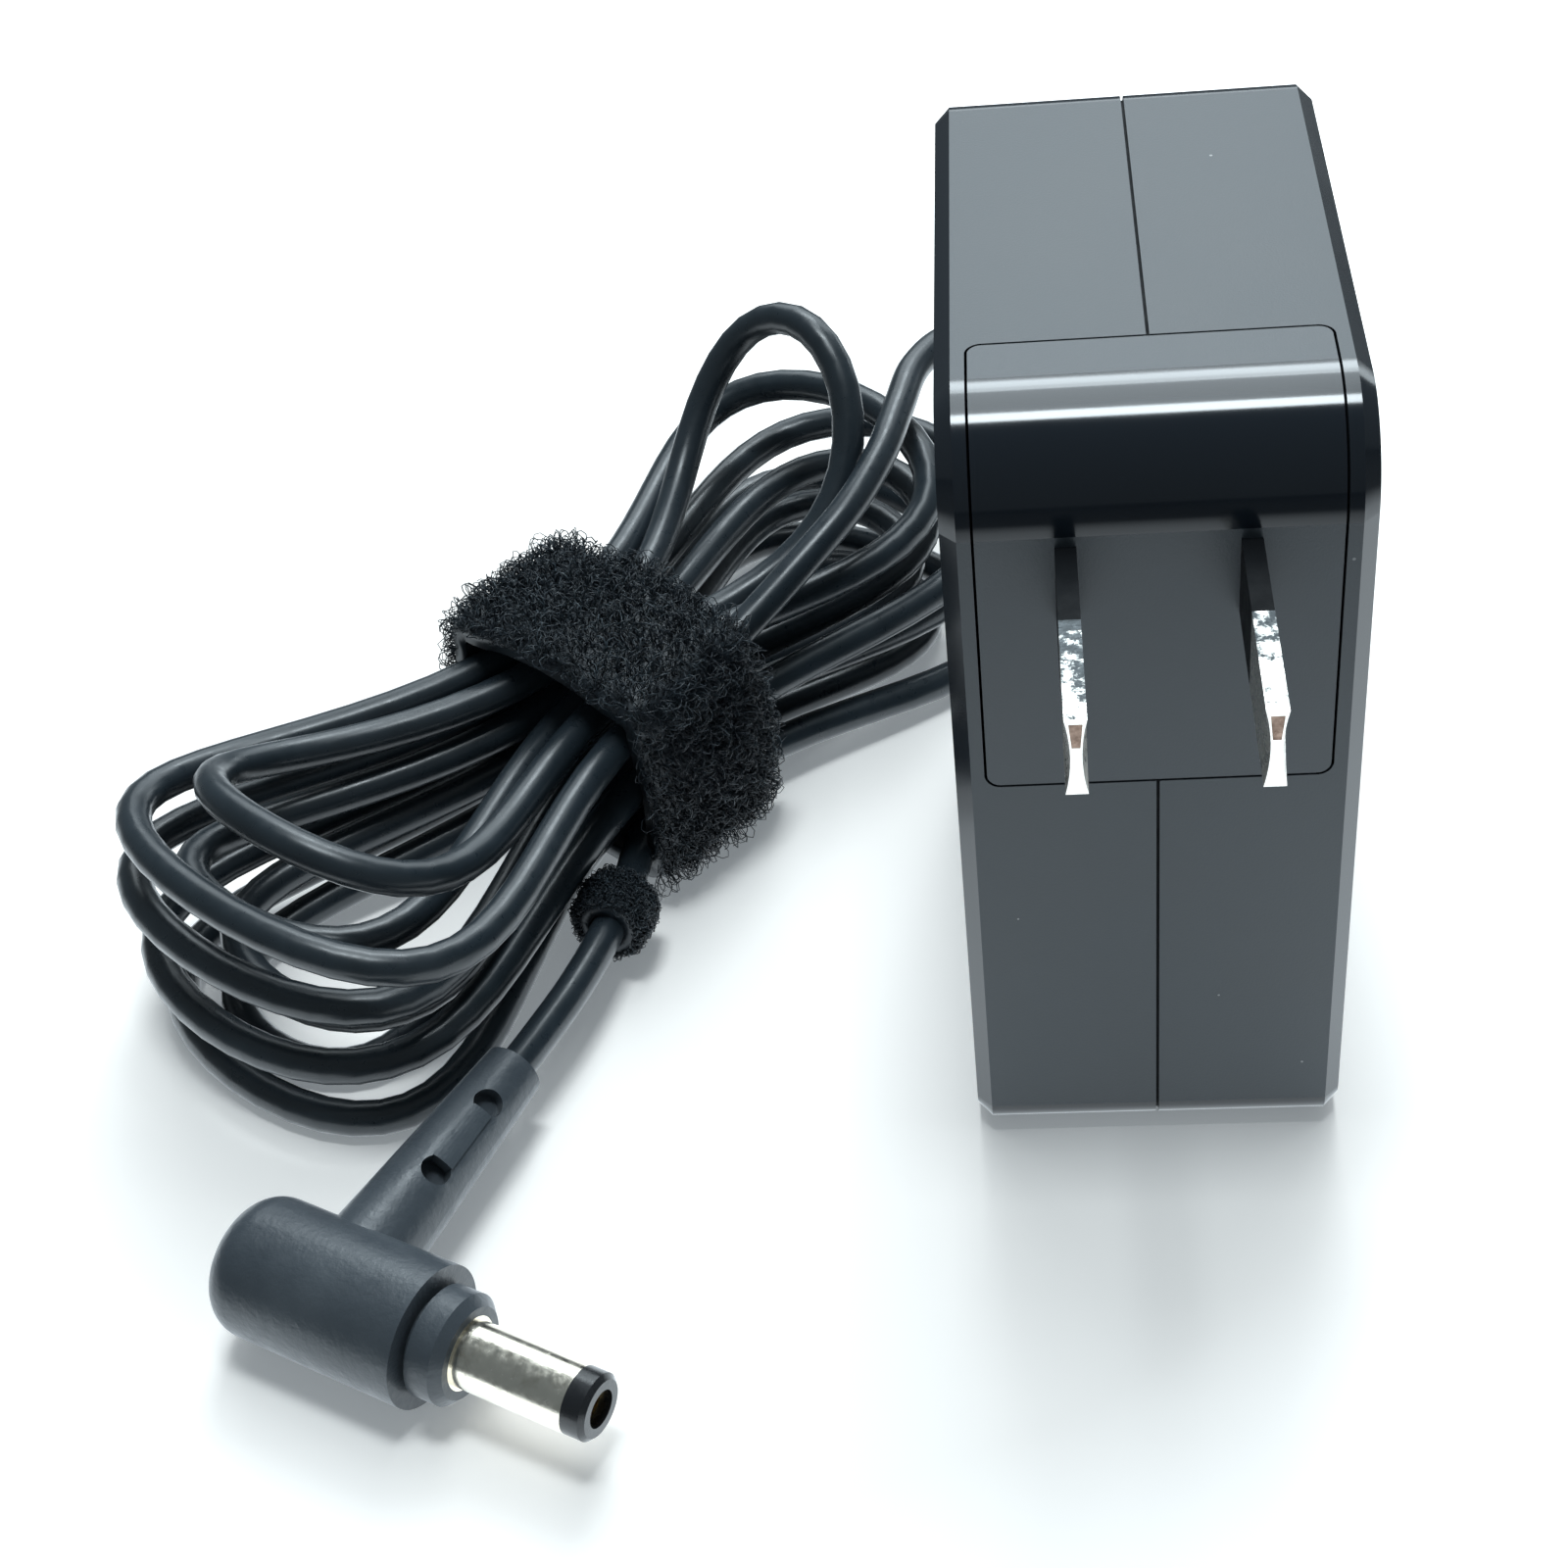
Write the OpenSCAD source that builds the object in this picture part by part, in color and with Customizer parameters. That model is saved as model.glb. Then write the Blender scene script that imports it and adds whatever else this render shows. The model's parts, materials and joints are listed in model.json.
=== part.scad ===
// Wall-type laptop power adapter: two-shell housing, slide-on plug head with two
// flat blades, and a long output cord tied in a hank that ends in an angled DC plug.
// The housing stands on z = 0, its blades point to -Y and the cord leaves at +Y.

/* [Body] */
// Thickness of the body across both shells
body_w = 30; // [29:0.5:34]
// Depth of the body from the blade face to the cord face
body_d = 50; // [49:0.5:60]
// Height of the body
body_h = 70; // [66:0.5:76]
// Wall of the shells
wall = 2; // [1.6:0.1:2.2]
// Width of the bevel along the long edges
edge_bevel = 1.2; // [0.8:0.1:1.4]
// Radius of the corner above the blades
corner_r = 8; // [6:0.5:9]
// Radius of the other three corners
small_corner_r = 3; // [2.5:0.1:3.5]
// Gap of the seam between the shells
seam_gap = 0.24; // [0.1:0.02:0.4]
// How far the tongue of the left shell reaches across the seam
tongue_reach = 1.2; // [0.8:0.1:1.6]
// Clearance between the tongue and its groove
tongue_gap = 0.1; // [0.05:0.01:0.15]

/* [Plug head] */
// Width of the plug head
head_w = 25.2; // [24:0.2:26]
// Depth of the plug head from the blade face
head_d = 12.2; // [11.8:0.2:13]
// Height of the plug head down from the top of the body
head_h = 30.6; // [29.6:0.2:32]
// Gap of the seam round the plug head
head_gap = 0.2; // [0.15:0.01:0.3]
// Side walls of the plug head
head_wall = 1.6; // [1.2:0.1:1.8]
// Radius of the plug head's corners on its two outer faces
head_corner_r = 1; // [0.6:0.1:1.2]

/* [Slide] */
// Width of the rail's neck
rail_neck_w = 6; // [5:0.2:7]
// Width of the rail's head
rail_head_w = 10; // [9:0.2:12]
// Depth of the rail's neck
rail_neck_d = 1.4; // [1.2:0.1:1.6]
// Depth of the rail's head
rail_head_d = 1.6; // [1.3:0.1:1.8]
// Height of the rail
rail_h = 18; // [14:0.5:20]
// Clearance round the rail in its slot
rail_gap = 0.15; // [0.1:0.01:0.2]
// Wall in front of the slot
slot_wall = 1.6; // [1.2:0.1:1.8]

/* [Blades] */
// Length of a blade in front of the plug head
blade_len = 18.2; // [17:0.1:19]
// Height of a blade
blade_h = 6.35; // [6.1:0.05:6.5]
// Thickness of a blade
blade_t = 1.5; // [1.4:0.05:1.6]
// Distance between the blades' middle planes
blade_spacing = 12.7; // [12.5:0.1:12.9]
// Depth of the blades' axis below the top of the body
blade_drop = 12; // [11.5:0.5:14]
// Length of the insulated root of a blade
sleeve_len = 8; // [6:0.5:9]
// Thickness of the sleeve on a blade's flat sides
sleeve_side = 0.3; // [0.25:0.01:0.35]
// Thickness of the sleeve on a blade's narrow edges
sleeve_edge = 0.4; // [0.3:0.01:0.5]
// Length of the hollow on a blade's flat sides at its tip
tip_len = 2; // [1.4:0.1:2.4]
// Depth of the hollow at the very tip
tip_depth = 0.36; // [0.2:0.02:0.4]

/* [Dock contacts] */
// Depth of a dock pin along the body
pin_d = 3; // [2.6:0.1:3.4]
// Thickness of a dock pin
pin_t = 0.8; // [0.6:0.05:1]
// Height of a dock pin above the floor of the recess
pin_h = 6; // [5:0.2:7]
// Thickness of a contact's leaves
leaf_t = 0.4; // [0.3:0.05:0.5]
// Clearance of a dock pin in its slots
pin_gap = 0.15; // [0.1:0.01:0.2]

/* [Board] */
// Thickness of the circuit board
board_t = 1.6; // [1.2:0.1:1.8]
// Height of the posts that carry the board
post_h = 1.5; // [1:0.1:2]
// Radius of the posts
post_r = 2.2; // [1.8:0.1:2.4]
// Clearance between the board and the walls
board_gap = 0.5; // [0.3:0.1:0.8]
// Thickness of the insulating sheet
sheet_t = 0.4; // [0.3:0.05:0.5]

/* [Cord] */
// Diameter of the cord
cord_d = 3.2; // [3:0.05:3.3]
// Height of the cord's outlet above the ground
gland_z = 20; // [18:0.5:22]
// Length of the strain relief outside the body
gland_len = 16; // [15:0.5:18]
// Radius of the strain relief at the body
gland_r = 4.4; // [4:0.1:4.8]
// Radius of the strain relief at its tip
gland_tip_r = 3; // [2.6:0.1:3.2]
// Number of rings on the strain relief
gland_rings = 5; // [3:1:6]
// Width of the hook and loop strap
strap_w = 15; // [12:0.5:16]
// Thickness of the hook and loop strap
strap_t = 2; // [1.6:0.1:2.1]

/* [DC plug] */
// Radius of the moulded body
plug_r = 5.9; // [5.4:0.1:5.9]
// Length of the moulded body
plug_len = 19; // [17:0.5:21]
// Rounding of the moulded body's closed end
plug_round = 3; // [2:0.1:3.6]
// Radius of the collar round the barrel
collar_r = 4.6; // [4:0.1:5]
// Length of the collar
collar_len = 3; // [2.4:0.1:3.6]
// Reach of the angled strain relief from the plug's axis
relief_reach = 26; // [25:0.5:27]
// Radius of the angled strain relief where it leaves the body
relief_r = 4.2; // [3.8:0.1:4.6]
// Radius of the angled strain relief at its tip
relief_tip_r = 2.7; // [2.4:0.1:3]
// Radius of the barrel
barrel_r = 2.75; // [2.4:0.05:2.8]
// Radius of the barrel's bore
bore_r = 1.25; // [0.85:0.05:1.3]
// Length of the metal barrel in front of the collar
barrel_len = 10; // [8:0.5:11]
// Length of the insulating ring at the barrel's tip
tip_ring_len = 2; // [1.5:0.1:2.5]

/* [Hidden] */
$fn = 64;

// Places that follow from the sizes above
front_y = (blade_len - body_d) / 2;
back_y = (blade_len + body_d) / 2;
half_w = body_w / 2;
inner_x = half_w - wall;
cut = 1;                                  // extra depth of a cut past a face
head_z = body_h - head_h;                 // underside of the plug head
head_back = front_y + head_d;             // rear face of the plug head
recess_z = head_z - head_gap;             // floor of the recess
recess_back = head_back + head_gap;       // rear wall of the recess
shelf_z = recess_z - wall;                // underside of the recess floor
inner_y = front_y + wall;                 // inner side of the blade face
blade_z = body_h - blade_drop;
slot_d = rail_neck_d + rail_head_d + rail_gap - head_gap;
back_d = slot_d + slot_wall;              // thickness of the head's rear block
carrier_back = head_back - back_d;
pin_y = (inner_y + carrier_back) / 2;     // dock pins, contacts and blade tangs line up
board_x = -inner_x + post_h;              // board face towards the left shell
board_face = board_x + board_t;           // board face that carries the components
blade_sides = [-1, 1];

// ---------------------------------------------------------------- housing

// Turns a side profile drawn in (y, z), with its thickness along x, upright
module upright() {
  rotate([90, 0, 90]) children();
}

// The body's side outline in (y, z), drawn in by inset
module outline(inset) {
  y0 = front_y + inset;
  y1 = back_y - inset;
  z1 = body_h - inset;
  r = small_corner_r - inset;
  big_r = corner_r - inset;
  small_places = [[y0 + r, inset + r], [y1 - r, inset + r], [y1 - r, z1 - r]];
  polygon([
    [y0 + r, inset], [y1 - r, inset], [y1 - r, inset + r], [y1, inset + r],
    [y1, z1 - r], [y1 - r, z1 - r], [y1 - r, z1], [y0 + big_r, z1],
    [y0 + big_r, z1 - big_r], [y0, z1 - big_r], [y0, inset + r], [y0 + r, inset + r]
  ]);
  for (place = small_places)
    translate(place)
      circle(r);
  translate([y0 + big_r, z1 - big_r])
    circle(big_r);
}

// The body drawn in by inset, from x0 to x1, with square edges
module plain_slab(inset, x0, x1) {
  translate([x0, 0, 0])
    upright()
      linear_extrude(x1 - x0)
        outline(inset);
}

// Section of the bevelled rim of a slab, outward along x, across along y
function rim(r, x0, x1) =
  [[0, x0], [r, x0], [r, x1 - edge_bevel], [r - edge_bevel, x1], [0, x1]];

module slab_corner(place, turn, section) {
  translate([place[0], place[1], 0])
    rotate(turn)
      rotate_extrude(angle = 90)
        polygon(section);
}

module slab_edge(place, turn, section, length) {
  translate([place[0], place[1], 0])
    rotate(turn)
      rotate([90, 0, 0])
        linear_extrude(length)
          polygon(section);
}

// The body from x0 to x1, its long edges bevelled at x1
module bevelled_slab(x0, x1) {
  y0 = front_y;
  y1 = back_y;
  z1 = body_h;
  r = small_corner_r;
  big_r = corner_r;
  small = rim(r, x0, x1);
  upright() {
    slab_corner([y0 + r, r], 180, small);
    slab_corner([y1 - r, r], 270, small);
    slab_corner([y1 - r, z1 - r], 0, small);
    slab_corner([y0 + big_r, z1 - big_r], 90, rim(big_r, x0, x1));
    slab_edge([y1 - r, z1 - r], 0, small, z1 - 2 * r);
    slab_edge([y0 + big_r, z1 - r], 90, small, y1 - y0 - big_r - r);
    slab_edge([y0 + r, r], 180, small, z1 - big_r - r);
    slab_edge([y1 - r, r], 270, small, y1 - y0 - 2 * r);
    translate([0, 0, x0])
      linear_extrude(x1 - x0)
        polygon([
          [y0 + r, r], [y1 - r, r], [y1 - r, z1 - r],
          [y0 + big_r, z1 - r], [y0 + big_r, z1 - big_r], [y0 + r, z1 - big_r]
        ]);
  }
}

// Solid corner of the housing that the recess for the plug head is cut into
module recess_block() {
  translate([-half_w, front_y - cut, shelf_z])
    cube([body_w, recess_back + wall - front_y + cut, head_h + head_gap + wall + cut]);
}

// Plate with two rounded corners towards -y
module corner_plate(w, h, r) {
  translate([-w / 2, r])
    square([w, h - r]);
  translate([-w / 2 + r, 0])
    square([w - 2 * r, r + cut / 10]);
  for (side = blade_sides)
    translate([side * (w / 2 - r), r])
      circle(r);
}

// Outer form of the plug head before its big corner is rounded, grown by grow
module head_form(grow, over) {
  w = head_w + 2 * grow;
  r = head_corner_r + grow;
  intersection() {
    translate([0, head_back + grow, head_z - grow])
      rotate([90, 0, 0])
        linear_extrude(head_d + grow + over)
          corner_plate(w, head_h + grow + over, r);
    translate([0, head_back + grow, head_z - grow])
      linear_extrude(head_h + grow + over)
        mirror([0, 1])
          corner_plate(w, head_d + grow + over, r);
  }
}

// What is cut away to round the corner above the blades to radius r
module big_corner_cut(inset, r) {
  y0 = front_y + inset;
  z1 = body_h - inset;
  difference() {
    translate([-half_w, y0 - cut, z1 - r])
      cube([body_w, r + cut, r + cut]);
    translate([-half_w - cut, y0 + r, z1 - r])
      rotate([0, 90, 0])
        cylinder(r = r, h = body_w + 2 * cut);
  }
}

module dock_pin_hole() {
  for (side = blade_sides)
    translate([
      side * blade_spacing / 2 - pin_t / 2 - pin_gap,
      pin_y - pin_d / 2 - pin_gap,
      shelf_z - cut
    ])
      cube([pin_t + 2 * pin_gap, pin_d + 2 * pin_gap, wall + head_gap + 2 * cut]);
}

// Half of the rail that the plug head slides on, from x0 outwards
module half_rail(x0) {
  translate([x0, recess_back - rail_neck_d, recess_z - wall / 2])
    cube([rail_neck_w / 2 - x0, rail_neck_d + wall / 2, rail_h + wall / 2]);
  translate([x0, recess_back - rail_neck_d - rail_head_d, recess_z - wall / 2])
    cube([rail_head_w / 2 - x0, rail_head_d, rail_h + wall / 2]);
}

module gland_hole() {
  translate([0, back_y - wall - cut, gland_z])
    rotate([-90, 0, 0])
      cylinder(r = gland_r + tongue_gap, h = wall + 2 * cut);
}

// One half shell on the +x side, without its joint
module half_shell() {
  x0 = seam_gap / 2;
  difference() {
    bevelled_slab(x0, half_w);
    difference() {
      plain_slab(wall, -cut, inner_x);
      recess_block();
    }
    head_form(head_gap, cut);
    dock_pin_hole();
    gland_hole();
  }
  half_rail(x0);
}

// Ring inside the wall that closes the seam, drawn in from the outer face
module seam_ring(inset, x0, x1) {
  difference() {
    plain_slab(inset, x0, x1);
    plain_slab(wall, x0 - cut, x1 + cut);
    recess_block();
    gland_hole();
  }
}

// Places of the board's posts in (y, z)
post_edge = board_gap + post_r + 1.5;
post_places = [
  [inner_y + post_edge, wall + post_edge],
  [back_y - wall - post_edge, wall + post_edge],
  [back_y - wall - post_edge, body_h - wall - post_edge],
  [recess_back + wall + post_edge, body_h - wall - post_edge]
];

module housing_left() {
  color("#1d1f22") {
    mirror([1, 0, 0])
      half_shell();
    seam_ring(wall / 2 + tongue_gap, -seam_gap, tongue_reach);
    for (place = post_places)
      translate([-inner_x - wall / 2, place[0], place[1]])
        rotate([0, 90, 0])
          cylinder(r = post_r, h = post_h + wall / 2);
  }
}

module housing_right() {
  color("#1d1f22")
    difference() {
      half_shell();
      seam_ring(wall / 2, -cut, tongue_reach + tongue_gap);
    }
}

// -------------------------------------------------------------- plug head

// Slot for the rail, open at the bottom
module rail_slot() {
  g = rail_gap;
  translate([-rail_neck_w / 2 - g, head_back - rail_neck_d - cut, head_z - cut])
    cube([rail_neck_w + 2 * g, rail_neck_d + 2 * cut, rail_h + g + cut]);
  translate([-rail_head_w / 2 - g, head_back - slot_d, head_z - cut])
    cube([rail_head_w + 2 * g, rail_head_d + 2 * g, rail_h + g + cut]);
}

module head_pin_slots() {
  for (side = blade_sides)
    translate([
      side * blade_spacing / 2 - pin_t / 2 - pin_gap,
      pin_y - pin_d / 2 - pin_gap,
      head_z - cut
    ])
      cube([pin_t + 2 * pin_gap, pin_d + 2 * pin_gap, wall + 2 * cut]);
}

module blade_slots() {
  for (side = blade_sides)
    translate([side * blade_spacing / 2 - blade_t / 2, front_y - cut, blade_z - blade_h / 2])
      cube([blade_t, wall + 2 * cut, blade_h]);
}

module plug_cap() {
  inside_w = head_w - 2 * head_wall;
  color("#222427")
    difference() {
      head_form(0, 0);
      big_corner_cut(0, corner_r);
      difference() {
        translate([-inside_w / 2, inner_y, head_z + wall])
          cube([inside_w, head_d, head_h - 2 * wall]);
        big_corner_cut(wall, corner_r - wall);
      }
      rail_slot();
      head_pin_slots();
      blade_slots();
    }
}

module plug_back() {
  w = head_w - 2 * head_wall - 2 * tongue_gap;
  color("#26282b")
    difference() {
      translate([-w / 2, carrier_back, head_z + wall])
        cube([w, back_d, head_h - 2 * wall]);
      rail_slot();
    }
}

carrier_z = blade_z - 6;                  // underside of the carrier
carrier_h = body_h - corner_r - carrier_z;

// Metal section of a blade inside its sleeve
neck_t = blade_t - 2 * sleeve_side;
neck_h = blade_h - 2 * sleeve_edge;

module blade_carrier() {
  w = head_w - 2 * head_wall - 2 * tongue_gap;
  color("#2a2c30")
    difference() {
      translate([-w / 2, inner_y, carrier_z])
        cube([w, carrier_back - inner_y, carrier_h]);
      for (side = blade_sides)
        translate([side * blade_spacing / 2 - neck_t / 2, inner_y - cut, blade_z - neck_h / 2])
          cube([neck_t, carrier_back - inner_y + 2 * cut, neck_h]);
      for (side = blade_sides)
        translate([
          side * blade_spacing / 2 - neck_t / 2 - leaf_t - pin_gap,
          pin_y - pin_d / 2 - pin_gap,
          carrier_z - cut
        ])
          cube([
            neck_t + 2 * leaf_t + 2 * pin_gap,
            pin_d + 2 * pin_gap,
            blade_z - neck_h / 2 - carrier_z + cut
          ]);
    }
}

tang_h = 4.2;                             // length of the tang under a blade's root

// Round cutter that hollows one flat side, deepest at the tip and nothing at its edges
module tip_hollow(flat) {
  r = (pow(blade_h / 2, 2) + pow(tip_depth, 2)) / (2 * tip_depth);
  slope = atan(tip_depth / tip_len);
  translate([flat * (blade_t / 2 - tip_depth + r / cos(slope)), front_y - blade_len, 0])
    rotate(-flat * slope)
      rotate([90, 0, 0])
        cylinder(r = r, h = 4 * tip_len, center = true);
}

module blade(side) {
  bare = blade_len - sleeve_len;
  translate([side * blade_spacing / 2, 0, blade_z]) {
    difference() {
      translate([-blade_t / 2, front_y - blade_len, -blade_h / 2])
        cube([blade_t, bare, blade_h]);
      tip_hollow(-1);
      tip_hollow(1);
    }
    translate([-neck_t / 2, front_y - sleeve_len - cut, -neck_h / 2])
      cube([neck_t, sleeve_len + carrier_back - front_y + cut, neck_h]);
    translate([-neck_t / 2, pin_y - pin_d / 2, -neck_h / 2 - tang_h])
      cube([neck_t, pin_d, tang_h + cut]);
  }
}

module blade_left() {
  color("#c9c5ba") blade(-1);
}

module blade_right() {
  color("#c9c5ba") blade(1);
}

module blade_sleeve(side) {
  depth = sleeve_len + wall;
  translate([side * blade_spacing / 2, front_y - sleeve_len, blade_z])
    difference() {
      translate([-blade_t / 2, 0, -blade_h / 2])
        cube([blade_t, depth, blade_h]);
      translate([-neck_t / 2, -cut, -neck_h / 2])
        cube([neck_t, depth + 2 * cut, neck_h]);
    }
}

module blade_sleeve_left() {
  color("#17181a") blade_sleeve(-1);
}

module blade_sleeve_right() {
  color("#17181a") blade_sleeve(1);
}

bridge_t = 0.8;                           // bar between a contact's two leaves

// Sprung clip: its upper leaves hold the blade's tang, its lower ones the dock pin
module contact(side) {
  tang_bottom = blade_z - neck_h / 2 - tang_h;
  foot = head_z + wall + tongue_gap;
  height = tang_bottom + tang_h - foot;
  translate([side * blade_spacing / 2, pin_y - pin_d / 2, foot]) {
    for (leaf = [-1, 1])
      translate([leaf * (neck_t + leaf_t) / 2 - leaf_t / 2, 0, 0])
        cube([leaf_t, pin_d, height]);
    translate([-neck_t / 2 - leaf_t / 2, 0, tang_bottom - foot - bridge_t])
      cube([neck_t + leaf_t, pin_d, bridge_t]);
  }
}

module contact_left() {
  color("#c8a25a") contact(-1);
}

module contact_right() {
  color("#c8a25a") contact(1);
}

// ------------------------------------------------------------ dock contacts

block_h = 6;
block_d = 4.6;

module dock_block() {
  color("#3a3c40")
    difference() {
      translate([board_face, pin_y - block_d / 2, shelf_z - block_h])
        cube([-2 * board_face, block_d, block_h]);
      for (side = blade_sides)
        translate([
          side * blade_spacing / 2 - pin_t / 2,
          pin_y - pin_d / 2,
          shelf_z - block_h - cut
        ])
          cube([pin_t, pin_d, block_h + 2 * cut]);
    }
}

pin_tip = 0.6;                            // chamfer on a dock pin's top

module dock_pin(side) {
  length = block_h + wall + pin_h;
  translate([side * blade_spacing / 2 - pin_t / 2, pin_y, shelf_z - block_h])
    upright()
      linear_extrude(pin_t)
        polygon([
          [-pin_d / 2, 0], [pin_d / 2, 0], [pin_d / 2, length - pin_tip],
          [pin_d / 2 - pin_tip, length], [-pin_d / 2 + pin_tip, length],
          [-pin_d / 2, length - pin_tip]
        ]);
}

module dock_pin_left() {
  color("#c8a25a") dock_pin(-1);
}

module dock_pin_right() {
  color("#c8a25a") dock_pin(1);
}

// ------------------------------------------------- circuit board and its parts

module circuit_board() {
  y0 = inner_y + board_gap;
  y1 = recess_back + wall + board_gap;
  y2 = back_y - wall - board_gap;
  z0 = wall + board_gap;
  z1 = shelf_z - board_gap;
  z2 = body_h - wall - board_gap;
  color("#2e6b3a")
    translate([board_x, 0, 0])
      upright()
        linear_extrude(board_t)
          polygon([[y0, z0], [y2, z0], [y2, z2], [y1, z2], [y1, z1], [y0, z1]]);
}

// A box standing on the board, centred on (y, z)
module on_board(place, size) {
  translate([board_face, place[0] - size[1] / 2, place[1] - size[2] / 2])
    cube(size);
}

core_size = [9, 24.4, 20.4];              // across, along and up
core_leg = 4;
centre_leg = 8;
coil_wall = 4;
coil_gap = 0.2;
core_place = [back_y - 20.6, body_h - 20];
core_bottom = core_place[1] - core_size[2] / 2;

module transformer_core() {
  x0 = board_face + coil_wall;
  window = (core_size[1] - 2 * core_leg - centre_leg) / 2;
  color("#45474a")
    difference() {
      translate([x0, core_place[0] - core_size[1] / 2, core_place[1] - core_size[2] / 2])
        cube(core_size);
      for (side = [-1, 1])
        translate([
          x0 - cut,
          core_place[0] + side * (centre_leg + window) / 2 - window / 2,
          core_place[1] - core_size[2] / 2 + core_leg
        ])
          cube([core_size[0] + 2 * cut, window, core_size[2] - 2 * core_leg]);
    }
}

module transformer_coil() {
  height = core_size[2] - 2 * core_leg - 2 * coil_gap;
  color("#d8b53a")
    difference() {
      on_board(core_place, [core_size[0] + 2 * coil_wall, centre_leg + 2 * coil_wall, height]);
      translate([
        board_face + coil_wall - coil_gap,
        core_place[0] - centre_leg / 2 - coil_gap,
        core_place[1] - height
      ])
        cube([core_size[0] + 2 * coil_gap, centre_leg + 2 * coil_gap, 2 * height]);
    }
}

bulk_r = 8;
bulk_z = 4;
bulk_y = inner_y + bulk_r + 0.9;
bulk_len = shelf_z - block_h - 2.2 - bulk_z;

module bulk_capacitor() {
  color("#25292f")
    translate([board_face + bulk_r, bulk_y, bulk_z])
      cylinder(r = bulk_r, h = bulk_len);
}

bridge_size = [11, 15, 3.4];
bridge_z = core_bottom - 1.3 - bridge_size[2] / 2;
bridge_y = back_y - 25.6;

module bridge_rectifier() {
  color("#2b2d31") on_board([bridge_y, bridge_z], bridge_size);
}

film_low = 19.7;
film_high = bridge_z - bridge_size[2] / 2 - 1.4;
film_y = back_y - 23.6;

module x_capacitor() {
  color("#d9a520")
    on_board([film_y, (film_low + film_high) / 2], [7, 13, film_high - film_low]);
}

choke_ring_r = 5;
choke_wire_r = 2.6;
choke_place = [back_y - 23.4, 10];

module common_mode_choke() {
  color("#a5602d")
    translate([board_face + choke_wire_r, choke_place[0], choke_place[1]])
      rotate([0, 90, 0])
        rotate_extrude()
          translate([choke_ring_r, 0])
            circle(choke_wire_r);
}

fuse_r = 2;
fuse_len = 10;
fuse_cap = 2.2;
fuse_cap_len = 2;
fuse_place = [back_y - 13.2, 12.8];

module fuse() {
  color("#d7dadd")
    translate([board_face + fuse_cap, fuse_place[0], fuse_place[1]]) {
      cylinder(r = fuse_r, h = fuse_len);
      for (end = [0, fuse_len - fuse_cap_len])
        translate([0, 0, end])
          cylinder(r = fuse_cap, h = fuse_cap_len);
    }
}

disc_r = 4;
disc_t = 2.6;
thermistor_place = [back_y - 13.8, 7];
y_cap_place = [back_y - 5.8, body_h - 20];

// A round disc component standing on its edge
module disc(place) {
  translate([board_face + disc_r, place[0] - disc_t / 2, place[1]])
    rotate([-90, 0, 0])
      cylinder(r = disc_r, h = disc_t);
}

module thermistor() {
  color("#3f7f4f") disc(thermistor_place);
}

module y_capacitor() {
  color("#2f62b5") disc(y_cap_place);
}

sink_t = 1.5;
sink_size = [20, 24];
sink_lip = 4;                             // depth of the heat sink's turned-down edge
sink_y = back_y - 30.4;
sink_z = body_h - 7.4;

module heat_sink() {
  color("#b9bcc0") {
    translate([board_face, sink_y, sink_z])
      cube([sink_size[0], sink_size[1], sink_t]);
    translate([board_face, sink_y + sink_size[1] - sink_t, sink_z - sink_lip])
      cube([sink_size[0], sink_t, sink_lip + sink_t / 2]);
  }
}

transistor_size = [8, 10, 2.8];

module switching_transistor() {
  color("#202225")
    translate([board_face + 5, sink_y + 6.4, sink_z + sink_t])
      cube(transistor_size);
}

output_r = 4;
output_len = 14;
output_y = back_y - 7.4;

module output_capacitors() {
  color("#2b4a86")
    for (z = [gland_z - 11.6, gland_z + 11.4])
      translate([board_face, output_y, z])
        rotate([0, 90, 0])
          cylinder(r = output_r, h = output_len);
}

opto_size = [3.6, 5.4, 4.2];
opto_y = back_y - 14.6;
opto_z = core_bottom - 0.7 - opto_size[2] / 2;

module optocoupler() {
  color("#1f2124") on_board([opto_y, opto_z], opto_size);
}

module insulating_sheet() {
  x0 = inner_x - sheet_t - tongue_gap;
  y0 = inner_y + board_gap;
  y1 = recess_back + wall + board_gap;
  y2 = back_y - wall - board_gap;
  z0 = wall + board_gap;
  z1 = shelf_z - board_gap;
  z2 = body_h - wall - board_gap;
  color("#e8e6da")
    translate([x0, 0, 0])
      upright()
        linear_extrude(sheet_t)
          polygon([[y0, z0], [y2, z0], [y2, z2], [y1, z2], [y1, z1], [y0, z1]]);
}

// ------------------------------------------------------------------- cord

gland_flange_r = 6.4;
gland_flange_t = 2;
ring_groove = 0.7;                        // depth of the grooves between the rings

// Tapered strain relief with rings, on a flange inside the wall
module cord_gland() {
  pitch = (gland_len - 2 * cut) / gland_rings;
  color("#1b1c1f")
    translate([0, back_y - wall - gland_flange_t, gland_z])
      rotate([-90, 0, 0]) {
        cylinder(r = gland_flange_r, h = gland_flange_t);
        difference() {
          cylinder(r = gland_r, h = gland_flange_t + wall + cut);
          translate([0, 0, -cut])
            cylinder(r = gland_tip_r - ring_groove, h = cut);
        }
        translate([0, 0, gland_flange_t + wall])
          rotate_extrude()
            polygon(gland_outline(pitch));
      }
}

// Radius of the strain relief at distance z from the body
function gland_radius(z) = gland_r + (gland_tip_r - gland_r) * z / gland_len;

function gland_outline(pitch) = concat(
  [[0, 0]],
  [for (k = [0:gland_rings - 1], corner = [0:3])
    let (z = cut + pitch * (k + [0, 0.55, 0.55, 1][corner]))
    [gland_radius(z) - (corner < 2 ? 0 : ring_groove), z]],
  [[gland_tip_r, gland_len - cut], [gland_tip_r, gland_len], [0, gland_len]]
);

function unit(v) = v / norm(v);

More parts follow.
